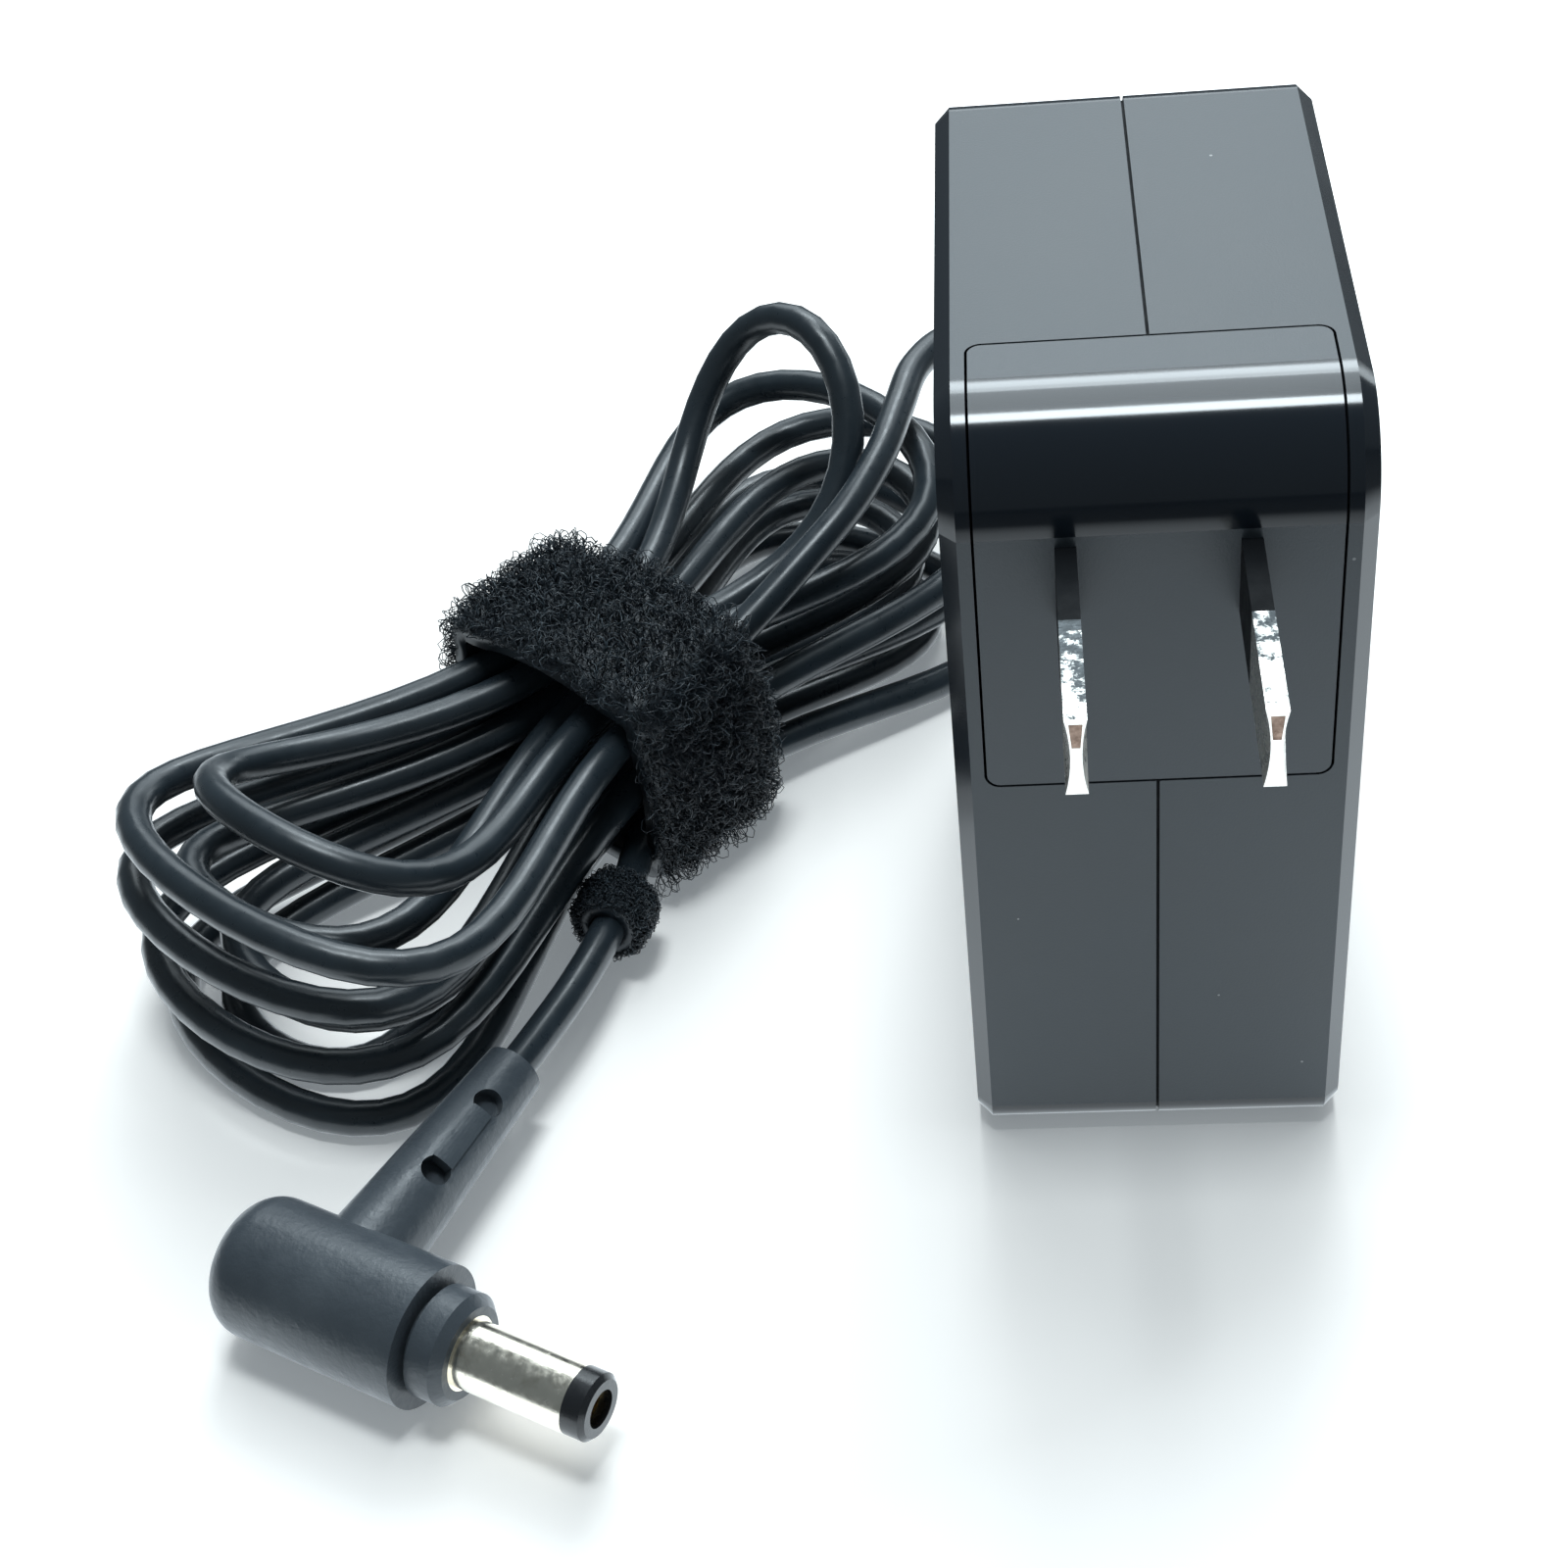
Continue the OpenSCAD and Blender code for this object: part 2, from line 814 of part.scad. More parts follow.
// Route of the hank. t counts turns from the plug's end; the waist lies where the
// turn crosses the hank's axis, a loop to the right follows, then one to the left.
loops = 8;
loop_rings = 24;
hank_centre = [-50.3, 28.5];
hank_turn = 51;                           // direction of the hank's long axis
hank_along = [cos(hank_turn), sin(hank_turn)];
hank_across = [sin(hank_turn), -cos(hank_turn)];
waist_half = 9.6;                         // outermost strand at the waist
waist_step = 4.4;                         // strand spacing at the waist
layer_rise = 4.2;                         // height of a layer at the waist
end_rise = 5.6;                           // height of a layer at the folds
waist_lift = 2.8;                         // height of the lowest waist strand off the ground
right_reach = [45, 41, 42, 47, 49, 42, 37, 42];
right_wide = [29, 19, 22, 29, 26, 19, 22, 29];
right_swing = [2, 1, -2, -2, 0, 1, -5, -3];
right_lift = [0, 0, 1, 0, 2, 2, 15, 4];
left_reach = [48, 44, 42, 48, 47, 43, 39, 46];
left_wide = [33, 24, 23, 30, 35, 26, 26, 36];
left_swing = [0, -1, -1, -2, -3, -3, -1, 0];
left_lift = [0, 0, 0, 0, 2, 4, 7, 4];

function eased(x) = let (c = min(1, max(0, x))) c * c * (3 - 2 * c);

// The spiral changes layer in the half turn round t = 2, 4 and 6
function layer(t) = eased((t - 1.75) * 2) + eased((t - 3.75) * 2) + eased((t - 5.75) * 2);

// In two steps and out again
function strand(t) = let (m = t % 4) m < 2 ? m : 4 - m;

function hank_point(t) =
  let (
    a = 360 * t + 270,
    c = cos(a),
    s = sin(a),
    k = min(floor(t + 1e-9), loops - 1),
    right = c > 0,
    reach = right ? right_reach[k] : left_reach[k],
    wide = right ? right_wide[k] : left_wide[k],
    swing = right ? right_swing[k] : left_swing[k],
    lift = right ? right_lift[k] : left_lift[k],
    along = reach * c,
    across = -s * (waist_half - waist_step * strand(t) + wide * c * c) + swing * c * c,
    flat = hank_centre + along * hank_along + across * hank_across,
    rise = layer(t) * (layer_rise + (end_rise - layer_rise) * c * c)
  )
  [flat[0], flat[1], cord_d / 2 + waist_lift * pow(1 - c * c, 2) + rise + lift * pow(c, 4)];

hank_steps = loops * loop_rings;
hank_route = [for (i = [0:hank_steps]) hank_point(loops * (1 - i / hank_steps))];
hank_in = hank_route[0];
hank_out = hank_route[hank_steps];
straight = 3.4;                           // straight end of each stretch

gland_tip = [0, back_y + gland_len, gland_z];

adapter_route = concat(
  [gland_tip, gland_tip + [0, straight, 0]],
  [
    [-0.7, 61, 20.8], [-4.5, 66.8, 21.8], [-10.3, 69, 24.2], [-15.8, 66.5, 26.5],
    [-19.4, 61, 27], [-21.1, 54.5, 26.5], [-22.8, 48, 25.6], [-25.8, 41.5, 24.2],
    [-30.3, 36, 22], [-35.3, 30.8, 19.4]
  ],
  [hank_in - straight * unit(hank_route[1] - hank_in), hank_in]
);

plug_cross = [-66.1, -36.2, 5.9];          // where the relief's axis meets the barrel's
plug_turn = -26;                          // direction of the barrel
relief_dir = [cos(plug_turn + 90), sin(plug_turn + 90), 0];
relief_tip = plug_cross + relief_reach * relief_dir;

plug_points = [[-46.4, 16, 4.6], [-47.1, 10, 5], [-48.45, 3.1, 5.6], [-50.55, -3.7, 5.9]];

plug_route = concat(
  [hank_out, hank_out + straight * unit(hank_out - hank_route[hank_steps - 1])],
  plug_points,
  [relief_tip + straight * relief_dir, relief_tip]
);

function sum(v) = v * [for (x = v) 1];

function route_length(p) = sum([for (i = [1:len(p) - 1]) norm(p[i] - p[i - 1])]);

// Points at the rings and halfway between them
function with_middles(p) =
  [for (i = [0:len(p) - 2], part = [0, 0.5]) p[i] + part * (p[i + 1] - p[i])];

// Least distance between stretches that lie more than skip points apart
function least_gap(p, skip) =
  min([for (i = [0:len(p) - 1 - skip]) min([for (j = [i + skip:len(p) - 1]) norm(p[i] - p[j])])]);

function directions(p) =
  [for (i = [0:len(p) - 1]) unit(p[min(i + 1, len(p) - 1)] - p[max(i - 1, 0)])];

// Side directions of the rings, carried along the route without twist
function carried(d) =
  [for (
    i = 0, n = unit(cross(d[0], [0, 0, 1]));
    i < len(d);
    i = i + 1, n = i < len(d) ? unit(n - (n * d[i]) * d[i]) : n
  ) n];

function ring(centre, dir, side, r, sides) =
  let (up = cross(dir, side))
  [for (k = [0:sides - 1])
    let (a = 360 * k / sides)
    centre + r * (cos(a) * side + sin(a) * up)];

// Round tube along a route
module tube(route, d, sides) {
  dirs = directions(route);
  sideways = carried(dirs);
  rings = len(route);
  points = [for (i = [0:rings - 1]) each ring(route[i], dirs[i], sideways[i], d / 2, sides)];
  walls = [for (i = [0:rings - 2], k = [0:sides - 1], half = [0, 1])
    let (
      a = i * sides + k,
      b = i * sides + (k + 1) % sides
    )
    half == 0 ? [a, a + sides, b] : [b, a + sides, b + sides]];
  first = [for (k = [1:sides - 2]) [0, k, k + 1]];
  base = (rings - 1) * sides;
  last = [for (k = [1:sides - 2]) [base, base + k + 1, base + k]];
  polyhedron(points, concat(walls, first, last));
}

module lead_adapter() {
  color("#1a1b1d") tube(adapter_route, cord_d, 8);
}

module cord_hank() {
  color("#1a1b1d") tube(hank_route, cord_d, 6);
}

module lead_plug() {
  color("#1a1b1d") tube(plug_route, cord_d, 8);
}

// ------------------------------------------------------------------- ties

strap_gap = 0.3;
strap_low = -waist_half - 2.6 - strap_gap;     // sides of the bundle under the strap
strap_high = 8.1 + cord_d / 2 + strap_gap - 0.1;
strap_floor = strap_t + 0.2;
strap_top = 6 + 3 * layer_rise + cord_d / 2 + 2 * strap_gap;
flap_len = 16;

// Bar along x with rounded edges, its section from [y0, z0] to [y1, z1]
module rounded_bar(y0, y1, z0, z1, r, length) {
  rotate([90, 0, 90])
    linear_extrude(length, center = true) {
      translate([y0 + r, z0])
        square([y1 - y0 - 2 * r, z1 - z0]);
      translate([y0, z0 + r])
        square([y1 - y0, z1 - z0 - 2 * r]);
      for (y = [y0 + r, y1 - r], z = [z0 + r, z1 - r])
        translate([y, z])
          circle(r);
    }
}

module tie_band() {
  r = cord_d / 2 + strap_gap;
  t = strap_t;
  color("#141416")
    translate([hank_centre[0], hank_centre[1], 0])
      rotate(hank_turn) {
        difference() {
          rounded_bar(strap_low - t, strap_high + t, strap_floor - t, strap_top + t, r + t, strap_w);
          rounded_bar(strap_low, strap_high, strap_floor, strap_top, r, strap_w + 2 * cut);
        }
        translate([-strap_w / 2, -flap_len / 2, strap_top + t - cut])
          cube([strap_w, flap_len, cut + strap_t * 0.8]);
      }
}

tail_len = 7;
tail_t = 2;

// Spare end of the strap, wrapped once round the lead to the plug
module tie_tail() {
  p = plug_points[1];
  q = plug_points[2];
  d = unit(q - p);
  r = cord_d / 2 + strap_gap;
  color("#141416")
    translate((p + q) / 2)
      rotate([0, acos(d[2]), atan2(d[1], d[0])])
        difference() {
          cylinder(r = r + tail_t, h = tail_len - 2, center = true);
          cylinder(r = r, h = tail_len, center = true);
        }
}

// --------------------------------------------------------------- DC plug

// Places a piece drawn with the barrel along +x and the relief along +y
module at_plug() {
  translate(plug_cross)
    rotate(plug_turn)
      children();
}

// Turns a profile drawn as (radius, distance) so that it revolves round x
module round_x() {
  rotate([90, 0, 90])
    rotate_extrude()
      children();
}

plug_rear = -plug_len / 2;
plug_front = plug_len / 2;
groove_len = 0.6;
groove_d = 0.8;
collar_end = plug_front + groove_len + collar_len;
barrel_root = plug_front - 5;             // inner end of the barrel in the body
shank_r = barrel_r + 0.3;                 // the barrel's shank inside the body
window_w = 2.6;
window_d = 2.4;
slit_w = 0.5;
window_places = [12.4, 20.4];             // along the relief
window_turn = 35;                         // round the relief, up and to the left

module plug_body() {
  color("#33383f")
    at_plug() {
      difference() {
        union() {
          round_x() {
            translate([0, plug_rear])
              square([plug_r - plug_round, plug_len]);
            translate([0, plug_rear + plug_round])
              square([plug_r, plug_len - plug_round]);
            intersection() {
              translate([plug_r - plug_round, plug_rear + plug_round])
                circle(plug_round);
              translate([0, plug_rear])
                square([plug_r, plug_len]);
            }
          }
          round_x()
            polygon([
              [0, plug_front - cut], [collar_r - groove_d, plug_front - cut],
              [collar_r - groove_d, plug_front], [collar_r - groove_d, plug_front + groove_len],
              [collar_r, plug_front + groove_len],
              [collar_r, collar_end - groove_d], [collar_r - groove_d, collar_end],
              [0, collar_end]
            ]);
          rotate([-90, 0, 0])
            cylinder(r1 = relief_r, r2 = relief_tip_r, h = relief_reach);
        }
        translate([barrel_root, 0, 0])
          rotate([0, 90, 0])
            cylinder(r = shank_r, h = collar_end - barrel_root + cut);
        rotate([0, window_turn, 0]) {
          for (y = window_places)
            translate([0, y, relief_tip_r - window_d / 2])
              cylinder(d = window_w, h = 2 * window_d);
          translate([-slit_w / 2, window_places[0], relief_r - 1])
            cube([slit_w, window_places[1] - window_places[0], 2]);
        }
      }
    }
}

liner_r = barrel_r - 0.35;

module plug_barrel() {
  color("#cfc9b6")
    at_plug()
      round_x()
        polygon([
          [liner_r, barrel_root], [shank_r, barrel_root],
          [shank_r, collar_end], [barrel_r, collar_end],
          [barrel_r, collar_end + barrel_len], [liner_r, collar_end + barrel_len]
        ]);
}

ring_chamfer = 0.4;
contact_r = bore_r + 0.3;

module plug_insulator() {
  tip = collar_end + barrel_len + tip_ring_len;
  color("#1c1e22")
    at_plug()
      round_x()
        polygon([
          [contact_r, barrel_root], [liner_r, barrel_root],
          [liner_r, tip - tip_ring_len], [barrel_r, tip - tip_ring_len],
          [barrel_r, tip - ring_chamfer], [barrel_r - ring_chamfer, tip],
          [contact_r, tip]
        ]);
}

module plug_contact() {
  tip = collar_end + barrel_len + tip_ring_len / 2;
  color("#c8a25a")
    at_plug()
      round_x()
        polygon([
          [0, barrel_root], [contact_r, barrel_root], [contact_r, tip],
          [bore_r, tip], [bore_r, plug_front], [0, plug_front]
        ]);
}

union() {  // cord_hank
  fine = with_middles(hank_route);
  echo(hank_least_gap = least_gap(fine, 6) - cord_d);
  echo(cord_length = route_length(concat(adapter_route, hank_route, plug_route)));
}

housing_left();
housing_right();
plug_cap();
plug_back();
blade_carrier();
blade_left();
blade_right();
blade_sleeve_left();
blade_sleeve_right();
contact_left();
contact_right();
dock_block();
dock_pin_left();
dock_pin_right();
circuit_board();
transformer_core();
transformer_coil();
bulk_capacitor();
x_capacitor();
common_mode_choke();
bridge_rectifier();
fuse();
thermistor();
heat_sink();
switching_transistor();
output_capacitors();
y_capacitor();
optocoupler();
insulating_sheet();
cord_gland();
lead_adapter();
cord_hank();
lead_plug();
tie_band();
tie_tail();
plug_body();
plug_barrel();
plug_insulator();
plug_contact();
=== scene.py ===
"""Looks of the laptop power adapter: finishes, the cord in its hank, the hook and loop tie, the DC plug."""
import json
import math
import random

import bmesh
import bpy
from mathutils import Matrix, Vector, noise


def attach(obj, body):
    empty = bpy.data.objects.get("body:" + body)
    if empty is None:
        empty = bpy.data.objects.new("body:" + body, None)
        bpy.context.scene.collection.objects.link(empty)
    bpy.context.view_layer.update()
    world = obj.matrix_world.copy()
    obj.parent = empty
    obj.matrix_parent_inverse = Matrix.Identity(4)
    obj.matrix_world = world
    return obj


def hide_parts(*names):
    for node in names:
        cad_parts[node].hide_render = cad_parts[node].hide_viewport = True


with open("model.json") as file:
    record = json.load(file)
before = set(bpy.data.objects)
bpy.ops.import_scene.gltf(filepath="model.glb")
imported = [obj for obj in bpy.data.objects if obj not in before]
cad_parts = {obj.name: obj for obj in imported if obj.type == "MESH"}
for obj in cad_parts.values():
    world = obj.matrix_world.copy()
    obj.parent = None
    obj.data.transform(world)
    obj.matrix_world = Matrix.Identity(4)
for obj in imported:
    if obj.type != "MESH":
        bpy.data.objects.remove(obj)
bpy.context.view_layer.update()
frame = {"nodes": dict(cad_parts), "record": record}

# Shapes are worked out in millimetres, and MM brings them to the frame's metres
MM = 0.001


def linked(name, data):
    """New object with this data, in the scene."""
    obj = bpy.data.objects.new(name, data)
    bpy.context.scene.collection.objects.link(obj)
    return obj


# ------------------------------------------------------------------ camera

# Place and directions of the camera in the row frame, fitted to the photograph's edges
CAMERA_AT = Vector((-8.831, -156.617, 166.906)) * MM
CAMERA_RIGHT = Vector((0.99420, 0.04698, -0.09672))
CAMERA_UP = Vector((0.04032, 0.67101, 0.74035))
LENS_MM = 58.27
SENSOR_MM = 36
CLIP_START = 0.005                        # metres


def make_camera():
    """Camera at the photograph's viewing angle."""
    data = bpy.data.cameras.new("camera")
    data.lens = LENS_MM
    data.sensor_width = SENSOR_MM
    data.sensor_fit = "HORIZONTAL"
    data.clip_start = CLIP_START
    camera = linked("camera", data)
    back = CAMERA_RIGHT.cross(CAMERA_UP).normalized()
    up = back.cross(CAMERA_RIGHT).normalized()
    turn = Matrix((CAMERA_RIGHT.normalized(), up, back)).transposed()
    camera.matrix_world = Matrix.Translation(CAMERA_AT) @ turn.to_4x4()
    bpy.context.scene.camera = camera


make_camera()


# ------------------------------------------------------------- cord's route

CORD_D = 3.2
CORD_SIDES = 18
LOOPS = 8
LOOPS_PER_LAYER = 2
HANK_CENTRE = Vector((-50.3, 28.5))
HANK_TURN = math.radians(51)
ALONG = Vector((math.cos(HANK_TURN), math.sin(HANK_TURN)))
ACROSS = Vector((math.sin(HANK_TURN), -math.cos(HANK_TURN)))
WAIST_HALF = 9.6                          # from the hank's middle line to its outer strands
WAIST_STEP = 4.4                          # from one strand to the next
LAYER_RISE = 4.2                          # from one layer to the next, at the waist
END_RISE = 5.6                            # and at the ends of the loops
WAIST_LIFT = 2.8
# Each loop's two ends, from the plug's end of the cord
RIGHT = {
    "reach": [45, 41, 42, 47, 49, 42, 37, 42],
    "wide": [29, 19, 22, 29, 26, 19, 22, 29],
    "swing": [2, 1, -2, -2, 0, 1, -5, -3],
    "lift": [0, 0, 1, 0, 2, 2, 15, 4],
}
LEFT = {
    "reach": [48, 44, 42, 48, 47, 43, 39, 46],
    "wide": [33, 24, 23, 30, 35, 26, 26, 36],
    "swing": [0, -1, -1, -2, -3, -3, -1, 0],
    "lift": [0, 0, 0, 0, 2, 4, 7, 4],
}
STRAIGHT = 3.4                            # straight stretch where the leads join other pieces
GLAND_TIP = Vector((0, 50.1, 20))
ADAPTER_POINTS = [
    (-0.7, 61, 20.8), (-4.5, 66.8, 21.8), (-10.3, 69, 24.2), (-15.8, 66.5, 26.5),
    (-19.4, 61, 27), (-21.1, 54.5, 26.5), (-22.8, 48, 25.6), (-25.8, 41.5, 24.2),
    (-30.3, 36, 22), (-35.3, 30.8, 19.4),
]
PLUG_POINTS = [(-46.4, 16, 4.6), (-47.1, 10, 5), (-48.45, 3.1, 5.6), (-50.55, -3.7, 5.9)]
PLUG_CROSS = Vector((-66.1, -36.2, 5.9))
PLUG_TURN = math.radians(-26)
BARREL_DIR = Vector((math.cos(PLUG_TURN), math.sin(PLUG_TURN), 0))
RELIEF_DIR = Vector((-BARREL_DIR.y, BARREL_DIR.x, 0))
RELIEF_REACH = 26
RELIEF_TIP = PLUG_CROSS + RELIEF_REACH * RELIEF_DIR
POINTS_PER_LOOP = 72
SMOOTH_STEPS = 6


def eased(x):
    """Smooth step from 0 to 1 while x goes from 0 to 1."""
    c = min(1.0, max(0.0, x))
    return c * c * (3 - 2 * c)


def layer(t):
    """Layer of the hank at turn t, with half a turn to climb from one to the next."""
    changes = range(LOOPS_PER_LAYER, LOOPS, LOOPS_PER_LAYER)
    return sum(eased((t - change + 0.25) * 2) for change in changes)


def strand(t):
    """Place in the layer at turn t: 0 outside, LOOPS_PER_LAYER at the middle line."""
    m = t % (2 * LOOPS_PER_LAYER)
    return m if m < LOOPS_PER_LAYER else 2 * LOOPS_PER_LAYER - m


def hank_point(t):
    """Point of the hank at turn t, counted from the plug's end."""
    angle = 2 * math.pi * t + 1.5 * math.pi
    c, s = math.cos(angle), math.sin(angle)
    nearly_nothing = 1e-9
    k = min(int(t + nearly_nothing), LOOPS - 1)
    side = RIGHT if c > 0 else LEFT
    waist = WAIST_HALF - WAIST_STEP * strand(t) + side["wide"][k] * c * c
    across = -s * waist + side["swing"][k] * c * c
    flat = HANK_CENTRE + side["reach"][k] * c * ALONG + across * ACROSS
    rise = layer(t) * (LAYER_RISE + (END_RISE - LAYER_RISE) * c * c)
    lift = WAIST_LIFT * (1 - c * c) ** 2 + side["lift"][k] * c**4
    return Vector((flat.x, flat.y, CORD_D / 2 + lift + rise))


def smooth_line(points, steps):
    """Curve through the points, with steps pieces between each two."""
    padded = [2 * points[0] - points[1]] + points + [2 * points[-1] - points[-2]]
    line = []
    for a, b, c, d in zip(padded, padded[1:], padded[2:], padded[3:]):
        for step in range(steps):
            f = step / steps
            line.append(
                0.5 * (2 * b + (c - a) * f + (2 * a - 5 * b + 4 * c - d) * f**2
                       + (3 * b - a - 3 * c + d) * f**3)
            )
    return line + [points[-1]]


def cord_line():
    """The cord's centreline from the gland to the DC plug, in millimetres."""
    count = LOOPS * POINTS_PER_LOOP
    hank = [hank_point(LOOPS * (1 - i / count)) for i in range(count + 1)]
    to_hank = (hank[1] - hank[0]).normalized()
    from_hank = (hank[-1] - hank[-2]).normalized()
    adapter = [GLAND_TIP, GLAND_TIP + Vector((0, STRAIGHT, 0))]
    adapter += [Vector(p) for p in ADAPTER_POINTS]
    adapter += [hank[0] - STRAIGHT * to_hank, hank[0]]
    plug = [hank[-1], hank[-1] + STRAIGHT * from_hank]
    plug += [Vector(p) for p in PLUG_POINTS]
    plug += [RELIEF_TIP + STRAIGHT * RELIEF_DIR, RELIEF_TIP]
    first = smooth_line(adapter, SMOOTH_STEPS)
    last = smooth_line(plug, SMOOTH_STEPS)
    return first[:-1] + hank + last[1:]


def tube(points, r, verts, faces, sides):
    """Adds a closed tube along the points, given in millimetres, to the lists."""
    base = len(verts)
    side = None
    for k, p in enumerate(points):
        ahead = (points[min(k + 1, len(points) - 1)] - points[max(k - 1, 0)]).normalized()
        side = ahead.orthogonal() if side is None else side - ahead * side.dot(ahead)
        side.normalize()
        other = ahead.cross(side)
        for m in range(sides):
            a = 2 * math.pi * m / sides
            verts.append((p + r * (math.cos(a) * side + math.sin(a) * other)) * MM)
    for k in range(len(points) - 1):
        for m in range(sides):
            a, b = base + k * sides + m, base + k * sides + (m + 1) % sides
            faces.append((a, b, b + sides, a + sides))
    last = base + (len(points) - 1) * sides
    faces.append(tuple(range(base, base + sides))[::-1])
    faces.append(tuple(range(last, last + sides)))


def mesh_object(name, verts, faces):
    """Object with smooth faces; caps with more than four corners stay flat."""
    mesh = bpy.data.meshes.new(name)
    mesh.from_pydata(verts, [], faces)
    mesh.update()
    for polygon in mesh.polygons:
        polygon.use_smooth = len(polygon.vertices) == 4
    return linked(name, mesh)


def flat_object(name, verts, faces):
    """Object with flat faces that all look outward."""
    obj = mesh_object(name, verts, faces)
    bm = bmesh.new()
    bm.from_mesh(obj.data)
    bmesh.ops.recalc_face_normals(bm, faces=bm.faces)
    bm.to_mesh(obj.data)
    bm.free()
    for polygon in obj.data.polygons:
        polygon.use_smooth = False
    return obj


line = cord_line()
cord_verts, cord_faces = [], []
tube(line, CORD_D / 2, cord_verts, cord_faces, CORD_SIDES)
cord = mesh_object("cord", cord_verts, cord_faces)
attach(cord, "housing")
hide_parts("lead_adapter", "cord_hank", "lead_plug")


# --------------------------------------------------------------- materials

SQUARE_LEAST = 0.9995                     # largest part of a normal, from here on a face is square to an axis
DUST_SIZE = 0.028                         # share of a cell that its speck may take
DUST_FROM = 0.54                          # noise from which a cell has a speck at all
DUST_TONE = (0.5, 0.5, 0.5)

# Places on the blades, in metres in the row frame: the blades' tops are painted darker towards the root, as
# painted reflection of the dark head, and lighter towards the tip
PAINTED_SHADE_Y, BRIGHT_Y = -0.024, -0.034
BLADE_MIDDLE_X = 0.00635
FIELD_Z = (0.0588, 0.0608)                # lower and upper end of the brown field of painted reflection on the end face
FIELD_HALF = (0.00028, 0.00046)           # its half width at these ends


class Nodes:
    """A material's node tree, with short ways to add and join nodes."""

    def __init__(self, name):
        self.material = bpy.data.materials.new(name)
        self.material.use_nodes = True
        self.tree = self.material.node_tree
        self.shader = self.tree.nodes["Principled BSDF"]

    def add(self, kind, inputs=(), **settings):
        """New node; each input is a value or another node's socket, each setting a property."""
        node = self.tree.nodes.new(kind)
        for key, value in settings.items():
            setattr(node, key, value)
        for key, value in dict(inputs).items():
            if isinstance(value, bpy.types.NodeSocket):
                self.tree.links.new(value, node.inputs[key])
            else:
                node.inputs[key].default_value = value
        return node

    def math(self, operation, a, b=0.0):
        """Result of one operation on two values or sockets."""
        return self.add("ShaderNodeMath", {0: a, 1: b}, operation=operation).outputs[0]

    def place(self):
        """Place on the object, in metres in the row frame."""
        return self.add("ShaderNodeTexCoord").outputs["Object"]

    def noise(self, scale, detail=2.0, rough=0.5, place=None):
        """Cloudy noise with about this many clouds to the metre."""
        inputs = {"Vector": place or self.place(), "Scale": scale, "Detail": detail, "Roughness": rough}
        return self.add("ShaderNodeTexNoise", inputs).outputs["Fac"]

    def ramp(self, value, low, high, to_low=0.0, to_high=1.0):
        """The value carried from one range to another, and held at its ends."""
        inputs = {"Value": value, "From Min": low, "From Max": high, "To Min": to_low, "To Max": to_high}
        return self.add("ShaderNodeMapRange", inputs).outputs["Result"]

    def mix(self, factor, a, b):
        """Colour between a at 0 and b at 1."""
        node = self.add("ShaderNodeMix", data_type="RGBA")
        for key, value in ((0, factor), (6, a), (7, b)):
            if isinstance(value, bpy.types.NodeSocket):
                self.tree.links.new(value, node.inputs[key])
            else:
                node.inputs[key].default_value = value if key == 0 else (*value[:3], 1)
        return node.outputs[2]

    def set(self, **inputs):
        """Inputs of the shader, written with _ for each space."""
        for key, value in inputs.items():
            socket = self.shader.inputs[key.replace("_", " ")]
            if isinstance(value, bpy.types.NodeSocket):
                self.tree.links.new(value, socket)
            elif isinstance(value, tuple):
                socket.default_value = (*value, 1)
            else:
                socket.default_value = value

    def bump(self, height, strength, distance):
        """Fine relief of the surface, with its depth in metres."""
        inputs = {"Height": height, "Strength": strength, "Distance": distance}
        self.tree.links.new(self.add("ShaderNodeBump", inputs).outputs[0], self.shader.inputs["Normal"])

    def flat_faces(self):
        """1 on faces square to an axis, 0 on rounds and bevels."""
        normal = self.add("ShaderNodeNewGeometry").outputs["Normal"]
        size = self.add("ShaderNodeVectorMath", {0: normal}, operation="ABSOLUTE").outputs[0]
        parts = self.add("ShaderNodeSeparateXYZ", {0: size}).outputs
        largest = self.math("MAXIMUM", self.math("MAXIMUM", parts[0], parts[1]), parts[2])
        return self.math("GREATER_THAN", largest, SQUARE_LEAST)


def shell_plastic(name, polished, grained, satin, gloss):
    """Moulded plastic: finely grained flats, polished rounds and bevels, a few dust specks."""
    n = Nodes(name)
    flat = n.flat_faces()
    cloud = n.ramp(n.noise(90, 3), 0.3, 0.7)
    grain = n.noise(5200, 2, 0.6)
    place = n.place()
    cells = n.add("ShaderNodeTexVoronoi", {"Vector": place, "Scale": 230.0})
    near = n.math("LESS_THAN", cells.outputs["Distance"], DUST_SIZE)
    few = n.math("GREATER_THAN", n.noise(140, 1, 0.5, cells.outputs["Position"]), DUST_FROM)
    dust = n.math("MULTIPLY", near, few)
    base = n.mix(flat, polished, n.mix(cloud, grained, tuple(1.2 * c for c in grained)))
    rough = n.math("ADD", n.math("MULTIPLY", flat, satin - gloss), n.ramp(cloud, 0, 1, gloss, gloss + 0.03))
    n.set(Base_Color=n.mix(n.math("MULTIPLY", dust, 0.6), base, DUST_TONE), Roughness=rough)
    n.bump(n.math("MULTIPLY", grain, flat), 0.35, 0.00004)
    return n.material


def plain_plastic(name, dark, light, rough, grain=0.25, scale=3500, level=0.5):
    """Moulded plastic without polish: a faint cloud between two tones, and a fine grain."""
    n = Nodes(name)
    n.set(Specular_IOR_Level=level)
    cloud = n.ramp(n.noise(160, 3), 0.3, 0.7)
    n.set(
        Base_Color=n.mix(cloud, dark, light),
        Roughness=n.ramp(n.noise(700, 3), 0.3, 0.7, rough - 0.05, rough + 0.07),
    )
    n.bump(n.noise(scale, 2, 0.6), grain, 0.00005)
    return n.material


